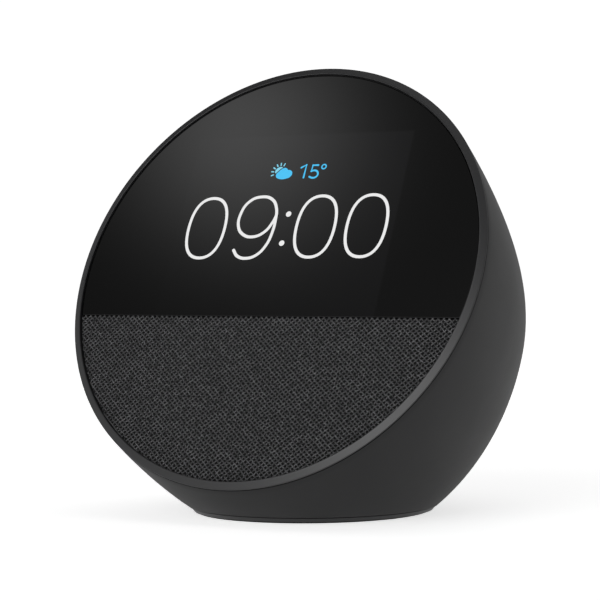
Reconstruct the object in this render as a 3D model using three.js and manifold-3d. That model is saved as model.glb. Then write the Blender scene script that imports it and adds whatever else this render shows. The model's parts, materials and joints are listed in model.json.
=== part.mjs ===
// Round-faced smart display: a tilted circular front on a ball-like rear shell, standing on an oval base.
// Millimetres, +Z up, front towards -Y. The origin is on the table under the middle of the body.
import * as THREE from 'three';
import { mergeVertices } from 'three/addons/utils/BufferGeometryUtils.js';
import Module from 'manifold-3d';

const wasm = await Module();
wasm.setup();

// ---- Body ----
const faceRadius = 56.5;
const faceTilt = THREE.MathUtils.degToRad(25);
const rimHeight = 8.7;            // lowest point of the face's rim above the table
const bodyDepth = 79;             // from the face plane to the rear pole, along the face's normal
const bodyFullness = 1.9;         // higher keeps the width longer before the back rounds off
const bodyBluntness = 2.6;        // higher makes the back flatter
const upperSlope = 0.33;          // how fast the upper half falls away behind the face
const upperRecovery = 0.36;       // how much of it comes back near the rear pole
const lowerFullness = 0.3;        // how much the lower half swells towards the back
const rearLift = 4.2;             // the rear pole lies this far above the face's axis
const wall = 2;
const touching = 0.3;             // gap kept between pieces that rest on each other
const running = 0.35;             // gap round a piece that slides
const through = 1;                // a cutting shape runs this far past what it cuts

// ---- Facets ----
const ringSides = 48;
const bodyRings = 13;
const ringCrowding = 0.9;         // below 1 moves the body's rings towards its back
const smallSides = 16;
const screwSides = 8;
const bisections = 40;

// ---- Front: bezel, glass, fabric and grille; depths run back from the face plane ----
const bezelWidth = 1.9;
const bezelRise = 0.6;            // the inner edge stands proud of the outer edge
const bezelEdge = 0.25;
const bezelSpigotGap = 1.65;      // outer edge to the spigot that enters the shell
const bezelSpigotDepth = 2.6;
const ledgeWidth = 1.6;           // the step inside the bezel that carries glass, fabric and grille
const shellSeam = 0.55;           // the shell starts this far behind the face plane
const glassSink = 0.55;           // glass and fabric lie this far below the bezel's inner edge
const glassThickness = 1.1;
const fabricThickness = 1;
const splitHeight = -12.18;       // the glass ends and the fabric begins here, up the face
const splitGap = 0.15;            // from the line to the glass, and from it to the fabric
const grilleThickness = 2;
const grilleSlotWidth = 1.8;
const grilleSlotPitch = 4.2;
const grilleBorder = 5;

// ---- Display ----
const panelWidth = 61.4;
const panelCornerGap = 5.08;      // from the panel's upper corners to the bezel's ledge
const panelThickness = 2;
const trayThickness = 0.4;
const panelRibWidth = 1.2;
const panelRibHeight = 1.8;
const ribbonWidth = 14;
const ribbonThickness = 0.4;
const ribbonLength = 6;           // of its end that lies on the main board
const ribbonInset = 3.5;          // from the main board's lower edge to the ribbon's slot
const ribbonSlotHeight = 4;
const ribbonSlotMargin = 1;

// ---- Front frame ----
const frameThickness = 2.5;
const frameScrewInset = 6.5;      // from the face's edge to the frame screws
const frameScrewAngle = THREE.MathUtils.degToRad(40);
const bossRadius = 3.2;
const bossFloor = 1;              // left at the blind end of a screw hole
const frameBossLength = 10;
const frameRibLength = 9.6;
const ribWidth = 2.2;

// ---- Screws ----
const screwHeadRadius = 2.1;
const screwHeadHeight = 1.2;
const screwShankRadius = 1.1;
const frameScrewLength = 8;
const boardScrewLength = 4.6;
const speakerScrewLength = 4.2;
const baseScrewLength = 8;

// ---- Speaker, behind the lower half of the frame ----
const speakerRadius = 22;
const speakerRimGap = 2.5;        // from the speaker's rim to the bezel's ledge below it
const speakerLap = 2.4;           // the speaker's rim lies on the frame by this much
const gasketThickness = 0.8;
const gasketLap = 0.2;            // the gasket shows this much inside the frame's hole
const basketFlange = 1;
const basketDepth = 11;
const basketFloorRadius = 16;
const basketWall = 1;
const basketLip = 2;              // from the surround's inner edge to the basket's mouth
const basketWindow = 9;
const armShare = 0.9;             // where an ear's arm sits between the speaker's axis and the ear
const surroundGap = 1.2;
const surroundWidth = 3.4;
const surroundHeight = 1.3;
const surroundThickness = 0.45;
const coneDepth = 5.6;
const coneThickness = 0.5;
const capRise = 0.45;             // height of the dust cap's dome as a share of its radius
const capHollow = 0.35;
const coilRadius = 6.9;
const coilThickness = 0.6;
const coilLength = 9;
const spiderGap = 1.4;
const spiderThickness = 0.5;
const topPlateRadius = 15;
const topPlateThickness = 2;
const magnetRadius = 16.5;
const magnetGap = 2.7;            // from the voice coil to the magnet
const magnetThickness = 5;
const yokeThickness = 2;
const poleGap = 0.4;
const coneTravel = 1.2;
const speakerEarOffset = 3;       // from the speaker's rim to its screws
const speakerRoom = 0.8;          // kept clear between the speaker and the shell's bosses

// ---- Boards ----
const boardThickness = 1.2;
const boardWidth = 62;
const boardTopInset = 0.3;        // from the panel's upper edge down to the main board's
const boardSpeakerGap = 3;
const standoffLength = 5;
const standoffRadius = 2.3;
const boardScrewInset = 3.4;
const chipSize = 12;
const chipThickness = 1;
const shieldWidth = 26;
const shieldMargin = 9;           // from the main board's upper and lower edges to the shield's
const shieldDepth = 2.4;
const sheetWall = 0.4;
const padSize = 14;
const padThickness = 1;
const spreaderWidth = 48;
const spreaderMargin = 5;
const spreaderThickness = 1.5;
const wireRadius = 0.7;
const wireGap = 0.85;
const wireDrop = 3;               // from the basket's flange to where the wires leave it
const wireSpread = 3;             // from the middle to each wire at the speaker
const wireSlack = 4;              // how far a wire bows out behind the main board
const wireSteps = 12;

// ---- Buttons on the top of the shell, behind the face ----
const buttonStation = 18;         // depth behind the face plane
const buttonPitch = 13;
const buttonRadius = 4;
const buttonProud = 0.3;
const buttonTravel = 0.5;
const buttonFlange = 0.9;
const buttonFlangeThickness = 1;
const buttonSeat = 1.5;           // shell left above a button's flange at its thinnest
const stemRadius = 1.2;
const plungerRadius = 1.4;
const plungerLength = 1.6;
const switchSize = 6;
const switchHeight = 2.4;
const stemLength = 0.9;           // from the outer buttons' flanges to the plungers
const buttonBoardMargin = 2.5;    // from the microphones to the board's ends
const buttonBoardDepth = 10;
const microphonePitch = 7.5;      // from the outer buttons to the microphones
const microphoneSize = 3.4;
const microphoneHeight = 1.1;
const microphoneHoleRadius = 0.6;

// ---- Power inlet ----
const inletHeight = 22;
const inletRadius = 5.5;
const inletWall = 1.6;
const inletDepth = 8;
const jackNoseRoot = 1;           // the jack's nose is rooted this deep in its body
const jackNoseRadius = 3.7;
const jackBoreRadius = 2.8;
const jackBoreDepth = 9;
const jackPinRadius = 0.9;
const jackPinSetback = 1;
const jackWidth = 9;
const jackLength = 12;
const jackBoardMargin = 2.5;

// ---- Base ----
const shellBottom = 1.95;         // height of the shell's lower edge
const bandBottom = 0.35;
const bandInset = 0.3;
const plugTop = 3.4;
const footThickness = 1.05;
const footMargin = 3.2;           // from the base's outer edge to the pad
const baseScrewAngle = THREE.MathUtils.degToRad(48.6);
const baseScrewInset = 10;          // from the base outline to its screws
const baseBossLength = 10;
const baseRibLength = 18;
const baseHeadDepth = 1.2;        // screw heads sit this far above the pad's pocket

const plastic = { color: 0x2c2c2e, roughness: 0.6, metalness: 0 };
const innerPlastic = { color: 0x3b3b3d, roughness: 0.7, metalness: 0 };
const fabric = { color: 0x2a2a2b, roughness: 0.95, metalness: 0 };
const glass = { color: 0x0a0a0b, roughness: 0.08, metalness: 0 };
const steel = { color: 0x9a9ca0, roughness: 0.4, metalness: 1 };
const copper = { color: 0xb06a3a, roughness: 0.4, metalness: 1 };
const rubber = { color: 0x1a1a1a, roughness: 0.9, metalness: 0 };
const paper = { color: 0x222224, roughness: 0.9, metalness: 0 };
const ferrite = { color: 0x3a3a3c, roughness: 0.6, metalness: 0.2 };
const circuitBoard = { color: 0x14402c, roughness: 0.5, metalness: 0 };
const chipBlack = { color: 0x151515, roughness: 0.5, metalness: 0 };
const aluminium = { color: 0xb4b6ba, roughness: 0.4, metalness: 1 };
const liquidCrystal = { color: 0x0c0c10, roughness: 0.2, metalness: 0 };
const ribbonAmber = { color: 0xa06018, roughness: 0.5, metalness: 0 };
const wireRed = { color: 0x8c1616, roughness: 0.5, metalness: 0 };
const wireBlack = { color: 0x151515, roughness: 0.5, metalness: 0 };

// ================= Geometry helpers =================

function closedGeometry(source) {
  const bare = source.clone();
  bare.deleteAttribute('normal');
  bare.deleteAttribute('uv');
  const merged = mergeVertices(bare, 1e-4);
  const kept = [];
  const corners = merged.index.array;
  for (let i = 0; i < corners.length; i += 3) {
    const [a, b, c] = [corners[i], corners[i + 1], corners[i + 2]];
    if (a !== b && b !== c && c !== a) kept.push(a, b, c);
  }
  if (signedVolume(merged.attributes.position, kept) < 0) kept.reverse();
  merged.setIndex(kept);
  return merged;
}

function signedVolume(position, corners) {
  const [a, b, c] = [new THREE.Vector3(), new THREE.Vector3(), new THREE.Vector3()];
  let total = 0;
  for (let i = 0; i < corners.length; i += 3) {
    a.fromBufferAttribute(position, corners[i]);
    b.fromBufferAttribute(position, corners[i + 1]);
    c.fromBufferAttribute(position, corners[i + 2]);
    total += a.dot(b.cross(c)) / 6;
  }
  return total;
}

function solid(source) {
  const geometry = closedGeometry(source);
  return new wasm.Manifold(new wasm.Mesh({
    numProp: 3,
    vertProperties: Float32Array.from(geometry.attributes.position.array),
    triVerts: Uint32Array.from(geometry.index.array),
  }));
}

function asGeometry(shape) {
  if (shape.isBufferGeometry) return closedGeometry(shape);
  const mesh = shape.getMesh();
  const geometry = new THREE.BufferGeometry();
  geometry.setAttribute('position', new THREE.BufferAttribute(Float32Array.from(mesh.vertProperties), 3));
  geometry.setIndex(Array.from(mesh.triVerts));
  return geometry;
}

function addPiece(group, name, shape, finish) {
  const geometry = asGeometry(shape);
  geometry.computeVertexNormals();
  const mesh = new THREE.Mesh(geometry, new THREE.MeshStandardMaterial(finish));
  mesh.name = name;
  group.add(mesh);
  return mesh;
}

// A solid of revolution about Z from [radius, z] corners.
function turned(corners, sides = smallSides) {
  const points = corners.map(([r, z]) => new THREE.Vector2(r, z));
  const first = points[0];
  const last = points[points.length - 1];
  const openAtAxis = first.x === 0 && last.x === 0;
  if (!openAtAxis) points.push(first.clone());
  return new THREE.LatheGeometry(points, sides).rotateX(Math.PI / 2);
}

function ring(inner, outer, low, high, sides = smallSides) {
  return turned([[inner, low], [outer, low], [outer, high], [inner, high]], sides);
}

function disc(radius, low, high, sides = smallSides) {
  return turned([[0, low], [radius, low], [radius, high], [0, high]], sides);
}

function box(width, depth, height, x, y, z) {
  return new THREE.BoxGeometry(width, depth, height).translate(x, y, z);
}

function plate(points, low, high) {
  const shape = new THREE.Shape(points);
  return new THREE.ExtrudeGeometry(shape, { depth: high - low, bevelEnabled: false }).translate(0, 0, low);
}

// The part of a circle above or below a straight line across it.
function segmentOutline(radius, height, above) {
  const start = Math.asin(height / radius);
  const from = above ? start : Math.PI - start;
  const sweep = above ? Math.PI - 2 * start : Math.PI + 2 * start;
  const steps = Math.ceil((sweep / (2 * Math.PI)) * ringSides);
  const points = [];
  for (let i = 0; i <= steps; i += 1) {
    const angle = from + (sweep * i) / steps;
    points.push(new THREE.Vector2(radius * Math.cos(angle), radius * Math.sin(angle)));
  }
  return points;
}

function tube(route, radius, steps) {
  const circle = new THREE.Path().absarc(0, 0, radius, 0, 2 * Math.PI);
  const section = new THREE.Shape(circle.getPoints(screwSides / 2).slice(0, -1));
  const curve = new THREE.CatmullRomCurve3(route.map((point) => new THREE.Vector3(...point)));
  return new THREE.ExtrudeGeometry(section, { steps, bevelEnabled: false, extrudePath: curve });
}

function screw(length) {
  return turned([
    [0, -length],
    [screwShankRadius, -length],
    [screwShankRadius, 0],
    [screwHeadRadius, 0],
    [screwHeadRadius, screwHeadHeight],
    [0, screwHeadHeight],
  ], screwSides);
}

// ================= Body form =================
// Behind the face every section is a half ellipse above and a fuller half ellipse below, of one width.

function sectionAt(depth, inset = 0) {
  const t = Math.min(Math.max(depth, 0) / (bodyDepth - inset), 1);
  const halfWidth = (faceRadius - inset) * (1 - t ** bodyFullness) ** (1 / bodyBluntness);
  return {
    halfWidth,
    upper: halfWidth * (1 - upperSlope * t + upperRecovery * t * t),
    lower: halfWidth * (1 + lowerFullness * t),
    lift: rearLift * t ** 4,
  };
}

function bodySolid(inset = 0, front = 0) {
  const positions = [0, 0, -front];
  const corners = [];
  for (let i = 0; i < bodyRings; i += 1) {
    const share = Math.sin((Math.PI / 2) * (i / bodyRings) ** ringCrowding);
    const depth = front + (bodyDepth - inset - front) * share;
    const { halfWidth, upper, lower, lift } = sectionAt(depth, inset);
    for (let j = 0; j < ringSides; j += 1) {
      const angle = (2 * Math.PI * j) / ringSides;
      const height = Math.sin(angle) > 0 ? upper : lower;
      positions.push(halfWidth * Math.cos(angle), lift + height * Math.sin(angle), -depth);
    }
  }
  const pole = positions.length / 3;
  positions.push(0, rearLift, inset - bodyDepth);
  for (let j = 0; j < ringSides; j += 1) {
    const next = (j + 1) % ringSides;
    corners.push(0, 1 + j, 1 + next);
    for (let i = 0; i < bodyRings - 1; i += 1) {
      const near = 1 + i * ringSides;
      const far = near + ringSides;
      corners.push(near + j, far + j, near + next, near + next, far + j, far + next);
    }
    const last = 1 + (bodyRings - 1) * ringSides;
    corners.push(last + j, pole, last + next);
  }
  const geometry = new THREE.BufferGeometry();
  geometry.setAttribute('position', new THREE.Float32BufferAttribute(positions, 3));
  geometry.setIndex(corners);
  return geometry;
}

// ================= Frames of reference =================

const faceHeight = rimHeight + faceRadius * Math.cos(faceTilt);
const frontmost = -faceRadius * Math.sin(faceTilt);
let rearmost = 0;
const profileStep = 0.25;
for (let depth = 0; depth <= bodyDepth; depth += profileStep) {
  const { upper, lift } = sectionAt(depth);
  rearmost = Math.max(rearmost, (lift + upper) * Math.sin(faceTilt) + depth * Math.cos(faceTilt));
}
const faceY = -(frontmost + rearmost) / 2;   // puts the origin under the middle of the body

const model = new THREE.Group();
const face = new THREE.Group();   // x right, y up the face, z out of the face
face.position.set(0, faceY, faceHeight);
face.rotation.x = Math.PI / 2 - faceTilt;
model.add(face);
face.updateMatrixWorld(true);

const buttonSection = sectionAt(buttonStation);
const buttonFall = (sectionAt(buttonStation + 1).upper - sectionAt(buttonStation - 1).upper) / 2;
const buttons = new THREE.Group();   // z out of the shell's top, y to the back
buttons.position.set(0, buttonSection.lift + buttonSection.upper, -buttonStation);
buttons.rotation.x = -(Math.PI / 2 + Math.atan(-buttonFall));
face.add(buttons);
buttons.updateMatrixWorld(true);

const toWorld = (geometry, group) => geometry.clone().applyMatrix4(group.matrixWorld);

function insideBody(point, inset) {
  const local = point.clone().applyMatrix4(face.matrixWorld.clone().invert());
  const depth = -local.z;
  if (depth < 0 || depth >= bodyDepth - inset) return false;
  const { halfWidth, upper, lower, lift } = sectionAt(depth, inset);
  const rise = local.y - lift;
  return Math.hypot(local.x / halfWidth, rise / (rise > 0 ? upper : lower)) < 1;
}

// How far one can go from a point inside the body before leaving it.
function reach(from, direction, inset) {
  let low = 0;
  let high = 2 * bodyDepth;
  for (let i = 0; i < bisections; i += 1) {
    const middle = (low + high) / 2;
    if (insideBody(from.clone().addScaledVector(direction, middle), inset)) low = middle;
    else high = middle;
  }
  return low;
}

// The body's outline at one height above the table, seen from above.
const baseLevel = new THREE.Vector3(0, 0, shellBottom);
const baseFront = -reach(baseLevel, new THREE.Vector3(0, -1, 0), 0);
const baseRear = reach(baseLevel, new THREE.Vector3(0, 1, 0), 0);
const baseY = (baseFront + baseRear) / 2;

function baseOutline(inset, margin = 0) {
  const centre = new THREE.Vector3(0, baseY, shellBottom);
  const points = [];
  for (let i = 0; i < ringSides; i += 1) {
    const angle = (2 * Math.PI * i) / ringSides;
    const direction = new THREE.Vector3(Math.cos(angle), Math.sin(angle), 0);
    const length = reach(centre, direction, inset) - margin;
    points.push(new THREE.Vector2(direction.x * length, baseY + direction.y * length));
  }
  return points;
}

// ================= Sizes that follow from others =================

const bezelInnerRadius = faceRadius - bezelWidth;
const ledgeRadius = bezelInnerRadius - ledgeWidth;
const glassRadius = bezelInnerRadius - touching;
const frameScrewRadius = faceRadius - frameScrewInset;

const panelUpperEdge = Math.sqrt((ledgeRadius - panelCornerGap) ** 2 - (panelWidth / 2) ** 2);
const panelHeight = panelUpperEdge - splitHeight;
const panelCentre = (panelUpperEdge + splitHeight) / 2;

const speakerCentre = speakerRimGap + speakerRadius - ledgeRadius;
const speakerHoleRadius = speakerRadius - speakerLap;
const speakerEarRadius = speakerRadius + speakerEarOffset;
const surroundOuter = speakerHoleRadius - surroundGap;
const surroundInner = surroundOuter - surroundWidth;
const coneRadius = surroundInner - touching;
const basketMouth = surroundInner + basketLip + 2 * basketWall;
const basketFoot = basketFloorRadius + basketWall;
const spiderRadius = basketFloorRadius - spiderGap;
const magnetInner = coilRadius + magnetGap;
const poleRadius = coilRadius - coilThickness - poleGap;

const boardUpperEdge = panelUpperEdge - boardTopInset;
const boardLowerEdge = speakerCentre + speakerRadius + boardSpeakerGap;
const boardHeight = boardUpperEdge - boardLowerEdge;
const boardCentre = (boardUpperEdge + boardLowerEdge) / 2;
const shieldHeight = boardHeight - 2 * shieldMargin;
const spreaderHeight = boardHeight - 2 * spreaderMargin;
const ribbonSlotY = boardLowerEdge + ribbonInset;

const microphoneOffset = buttonPitch + microphonePitch;
const buttonBoardWidth = 2 * (microphoneOffset + buttonBoardMargin);
const flangeSpace = touching + buttonFlangeThickness - flangeTop(buttonPitch);
const switchLevel = flangeSpace + stemLength + plungerLength / 2;   // from the shell's top down
const buttonBoardTop = switchLevel + switchHeight + touching;

// Depths of the front stack, behind the face plane.
const glassTop = glassSink - bezelRise;
const glassBottom = glassTop + glassThickness;
const panelTop = glassBottom + touching;
const trayTop = panelTop + panelThickness + touching;
const frameTop = trayTop + trayThickness + touching;
const frameBottom = frameTop + frameThickness;
const behindFrame = frameBottom + touching;
const flangeFront = -gasketThickness - touching;   // speaker levels, forward from the frame's rear face
const flangeBack = flangeFront - basketFlange;
const basketBack = flangeBack - basketDepth;
const topPlateFront = basketBack - touching;
const magnetFront = topPlateFront - topPlateThickness - touching;
const yokeFront = magnetFront - magnetThickness - touching;
const boardTop = frameBottom + standoffLength + touching;
const boardBottom = boardTop + boardThickness;
const headSeat = screwHeadHeight + touching;

const frameScrewPlaces = [1, -1].flatMap((side) => [1, -1].map((rise) => [
  side * frameScrewRadius * Math.cos(frameScrewAngle),
  rise * frameScrewRadius * Math.sin(frameScrewAngle),
]));
const boardScrewPlaces = [1, -1].flatMap((side) => [1, -1].map((rise) => [
  side * (boardWidth / 2 - boardScrewInset),
  boardCentre + rise * (boardHeight / 2 - boardScrewInset),
]));
const speakerScrewPlaces = [1, 3, 5, 7].map((eighth) => [
  speakerEarRadius * Math.cos((eighth * Math.PI) / 4),
  speakerCentre + speakerEarRadius * Math.sin((eighth * Math.PI) / 4),
]);
const baseScrewPlaces = [1, -1].flatMap((side) => [1, -1].map((end) => {
  const direction = new THREE.Vector3(side * Math.cos(baseScrewAngle), end * Math.sin(baseScrewAngle), 0);
  const centre = new THREE.Vector3(0, baseY, shellBottom);
  const length = reach(centre, direction, 0) - baseScrewInset;
  return [direction.x * length, baseY + direction.y * length];
}));

// ================= Rear shell =================

const inletSurface = reach(new THREE.Vector3(0, 0, inletHeight), new THREE.Vector3(0, 1, 0), 0);
const inletFloor = inletSurface - inletDepth;
const alongY = (geometry) => geometry.rotateX(-Math.PI / 2);   // +Z of a turned piece becomes +Y

// Height at which a button's flange meets the shell from inside, in the buttons' frame.
function flangeTop(x) {
  const across = Math.abs(x) / buttonSection.halfWidth;
  const drop = buttonSection.upper * (1 - Math.sqrt(1 - across ** 2));
  return -(drop + buttonSeat + (buttonRadius + buttonFlange + running) * across);
}

function bossWithRib(x, y, length, ribLength, angle) {
  const post = solid(disc(bossRadius, 0, length, screwSides));
  const web = solid(box(ribLength, ribWidth, length, ribLength / 2, 0, length / 2).rotateZ(angle));
  return asGeometry(post.add(web)).translate(x, y, 0);
}

// Space behind the frame that the speaker needs to itself.
function speakerSpace() {
  const headLevel = flangeBack - screwHeadHeight - touching - speakerRoom;
  const frame = disc(faceRadius, 0, behindFrame, ringSides).translate(0, -speakerCentre, 0);
  const ears = disc(speakerEarRadius + bossRadius + speakerRoom, headLevel, 0, ringSides);
  const magnet = disc(magnetRadius + speakerRoom, yokeFront - yokeThickness - speakerRoom, 0, ringSides);
  const space = asGeometry(solid(frame).add(solid(ears)).add(solid(magnet)));
  return solid(toWorld(space.translate(0, speakerCentre, -behindFrame), face));
}

function makeRearShell() {
  const outer = solid(toWorld(bodySolid(0, shellSeam), face));
  let shell = outer.subtract(solid(toWorld(bodySolid(wall, -through), face)));
  for (const [x, y] of frameScrewPlaces) {
    const bossEnd = -behindFrame - frameBossLength;
    const boss = bossWithRib(x, y, frameBossLength, frameRibLength, Math.atan2(y, x));
    shell = shell.add(solid(toWorld(boss.translate(0, 0, bossEnd), face)).intersect(outer));
    const hole = disc(screwShankRadius + touching, bossEnd + bossFloor, 0, screwSides);
    shell = shell.subtract(solid(toWorld(hole.translate(x, y, 0), face)));
  }
  const forSpeaker = speakerSpace();
  for (const [x, y] of baseScrewPlaces) {
    const boss = bossWithRib(x, y, baseBossLength, baseRibLength, Math.atan2(y - baseY, x));
    const clear = solid(boss.translate(0, 0, plugTop + touching)).subtract(forSpeaker);
    shell = shell.add(clear.intersect(outer));
    const hole = disc(screwShankRadius + touching, 0, plugTop + baseBossLength - bossFloor, screwSides);
    shell = shell.subtract(solid(hole.translate(x, y, 0)));
  }
  const cup = alongY(disc(inletRadius + inletWall, inletFloor - inletWall, inletSurface + inletDepth));
  shell = shell.add(solid(cup.translate(0, 0, inletHeight)).intersect(outer));
  const bore = alongY(disc(inletRadius, inletFloor, inletSurface + 2 * inletDepth));
  shell = shell.subtract(solid(bore.translate(0, 0, inletHeight)));
  const noseHole = alongY(disc(jackNoseRadius + touching, inletFloor - inletDepth, inletSurface));
  shell = shell.subtract(solid(noseHole.translate(0, 0, inletHeight)));
  for (const x of [-buttonPitch, 0, buttonPitch]) {
    const hole = disc(buttonRadius + running, -switchLevel, buttonPitch);
    const seat = disc(buttonRadius + buttonFlange + running, -switchLevel, flangeTop(x));
    shell = shell.subtract(solid(toWorld(hole.translate(x, 0, 0), buttons)));
    shell = shell.subtract(solid(toWorld(seat.translate(x, 0, 0), buttons)));
  }
  for (const x of [-microphoneOffset, microphoneOffset]) {
    const hole = disc(microphoneHoleRadius, -buttonBoardTop, buttonPitch, screwSides);
    shell = shell.subtract(solid(toWorld(hole.translate(x, 0, 0), buttons)));
  }
  const spigotRadius = faceRadius - bezelSpigotGap + touching;
  const rebate = disc(spigotRadius, -bezelSpigotDepth - touching, bezelRise + through, ringSides);
  shell = shell.subtract(solid(toWorld(rebate, face)));
  const below = box(4 * faceRadius, 4 * faceRadius, faceRadius, 0, 0, shellBottom - faceRadius / 2);
  return shell.subtract(solid(below));
}

addPiece(model, 'rear_shell', makeRearShell(), plastic);

// ================= Front pieces =================

addPiece(face, 'bezel_ring', turned([
  [bezelInnerRadius, bezelRise],
  [bezelInnerRadius + bezelEdge, bezelRise],
  [faceRadius, 0],
  [faceRadius, -bezelEdge],
  [faceRadius - bezelSpigotGap, -bezelEdge],
  [faceRadius - bezelSpigotGap, -bezelSpigotDepth],
  [ledgeRadius, -bezelSpigotDepth],
  [ledgeRadius, -panelTop],
  [bezelInnerRadius, -panelTop],
], ringSides), plastic);

const glassOutline = segmentOutline(glassRadius, splitHeight + splitGap, true);
addPiece(face, 'cover_glass', plate(glassOutline, -glassBottom, -glassTop), glass);

const fabricOutline = segmentOutline(glassRadius, splitHeight - splitGap, false);
addPiece(face, 'fabric_cover', plate(fabricOutline, -glassTop - fabricThickness, -glassTop), fabric);

function makeGrille() {
  const radius = ledgeRadius - touching;
  const top = splitHeight - splitGap;
  const lowest = -radius + grilleBorder;
  let grille = solid(plate(segmentOutline(radius, top, false), -panelTop - grilleThickness, -panelTop));
  for (let y = top - grilleBorder; y > lowest; y -= grilleSlotPitch) {
    const halfLength = Math.sqrt((radius - grilleBorder) ** 2 - y * y);
    if (halfLength > grilleSlotPitch) {
      const slot = box(2 * halfLength, grilleSlotWidth, 4 * grilleThickness, 0, y, -panelTop);
      const bar = box(grilleSlotWidth, grilleSlotPitch, 5 * grilleThickness, 0, y, -panelTop);
      grille = grille.subtract(solid(slot).subtract(solid(bar)));
    }
  }
  return grille;
}

addPiece(face, 'grille_plate', makeGrille(), innerPlastic);

const panel = box(panelWidth, panelHeight, panelThickness, 0, panelCentre, -panelTop - panelThickness / 2);
addPiece(face, 'display_panel', panel, liquidCrystal);
const tray = box(panelWidth, panelHeight, trayThickness, 0, panelCentre, -trayTop - trayThickness / 2);
addPiece(face, 'display_tray', tray, steel);

function makeFrontFrame() {
  const slab = solid(disc(faceRadius, -frameBottom, -frameTop, ringSides));
  let frame = slab.intersect(solid(bodySolid(wall + running + touching, -through)));
  const fence = panelRibWidth + running;
  const ribDepth = frameThickness + panelRibHeight;
  const ribZ = -frameBottom + ribDepth / 2;
  const outside = box(panelWidth + 2 * fence, panelHeight + 2 * fence, ribDepth, 0, panelCentre, ribZ);
  const inside = box(panelWidth + 2 * running, panelHeight + 2 * running, 2 * ribDepth, 0, panelCentre, 0);
  const overGrille = box(4 * faceRadius, faceRadius, 2 * ribDepth, 0, splitHeight - faceRadius / 2, 0);
  frame = frame.add(solid(outside).subtract(solid(inside)).subtract(solid(overGrille)));
  for (const [x, y] of boardScrewPlaces) {
    const post = disc(standoffRadius, -frameBottom - standoffLength, -frameBottom + through, screwSides);
    const hole = disc(screwShankRadius + touching, -boardTop - through, -frameTop - bossFloor, screwSides);
    frame = frame.add(solid(post.translate(x, y, 0))).subtract(solid(hole.translate(x, y, 0)));
  }
  for (const [x, y] of frameScrewPlaces) {
    const hole = disc(screwShankRadius + touching, -2 * frameBottom, 0, screwSides);
    const recess = disc(screwHeadRadius + touching, -frameTop - headSeat, 0, screwSides);
    frame = frame.subtract(solid(hole.translate(x, y, 0))).subtract(solid(recess.translate(x, y, 0)));
  }
  for (const [x, y] of speakerScrewPlaces) {
    const hole = disc(screwShankRadius + touching, -2 * frameBottom, 0, screwSides);
    frame = frame.subtract(solid(hole.translate(x, y, 0)));
  }
  const mouth = disc(speakerHoleRadius, -2 * frameBottom, 0, ringSides / 2);
  frame = frame.subtract(solid(mouth.translate(0, speakerCentre, 0)));
  const slot = box(ribbonWidth + 2 * ribbonSlotMargin, ribbonSlotHeight, 4 * frameBottom, 0, ribbonSlotY, 0);
  return frame.subtract(solid(slot));
}

addPiece(face, 'front_frame', makeFrontFrame(), innerPlastic);

frameScrewPlaces.forEach(([x, y], i) => {
  const piece = screw(frameScrewLength).translate(x, y, -frameTop - screwHeadHeight - touching / 2);
  addPiece(face, `frame_screw_${i + 1}`, piece, steel);
});

// ================= Speaker; z runs forward from the frame's rear face =================

const speaker = new THREE.Group();
speaker.position.set(0, speakerCentre, -behindFrame);
face.add(speaker);

addPiece(speaker, 'speaker_gasket',
  ring(speakerHoleRadius - gasketLap, speakerRadius, -gasketThickness, 0), rubber);

function makeBasket() {
  const lip = surroundInner + basketLip;
  let basket = solid(turned([
    [lip, flangeBack],
    [lip, flangeFront],
    [speakerRadius, flangeFront],
    [speakerRadius, flangeBack],
    [basketMouth, flangeBack],
    [basketFoot, basketBack],
    [coilRadius + touching, basketBack],
    [coilRadius + touching, basketBack + basketWall],
    [basketFloorRadius, basketBack + basketWall],
  ]));
  for (const [x, y] of speakerScrewPlaces) {
    const rise = y - speakerCentre;
    const ear = disc(bossRadius, flangeBack, flangeFront, screwSides).translate(x, rise, 0);
    const arm = box(2 * bossRadius, bossRadius, basketFlange, 0, 0, (flangeFront + flangeBack) / 2)
      .rotateZ(Math.atan2(rise, x))
      .translate(armShare * x, armShare * rise, 0);
    const hole = disc(screwShankRadius + touching, 2 * flangeBack, 0, screwSides).translate(x, rise, 0);
    basket = basket.add(solid(ear)).add(solid(arm)).subtract(solid(hole));
  }
  const window = box(3 * speakerRadius, basketWindow, basketDepth / 2, 0, 0, flangeBack - basketDepth / 2);
  const core = disc(basketFloorRadius - basketWall, 2 * basketBack, 0);
  const windows = solid(window.clone()).add(solid(window.clone().rotateZ(Math.PI / 2)));
  return basket.subtract(windows.subtract(solid(core)));
}

addPiece(speaker, 'speaker_basket', makeBasket(), steel);

function halfRoll(inner, outer, height, low) {
  const corners = [];
  const steps = 6;
  const middle = (inner + outer) / 2;
  for (let i = 0; i <= steps; i += 1) {
    const angle = Math.PI - (Math.PI * i) / steps;
    corners.push([middle + ((outer - inner) / 2) * Math.cos(angle), low + height * Math.sin(angle)]);
  }
  for (let i = steps - 1; i > 0; i -= 1) {
    const angle = Math.PI - (Math.PI * i) / steps;
    const half = (outer - inner) / 2 - surroundThickness;
    corners.push([middle + half * Math.cos(angle), low + (height - surroundThickness) * Math.sin(angle)]);
  }
  return corners;
}

const rimLevel = flangeFront + touching;
const roll = turned(halfRoll(surroundInner, surroundOuter, surroundHeight, rimLevel));
addPiece(speaker, 'speaker_surround', roll, rubber);

const neckRadius = coilRadius - coilThickness / 2;
const coneBack = rimLevel - coneDepth;
addPiece(speaker, 'speaker_cone', turned([
  [neckRadius, coneBack],
  [neckRadius + coneThickness, coneBack],
  [coneRadius, rimLevel],
  [coneRadius - coneThickness, rimLevel + coneThickness],
]), paper);

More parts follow.
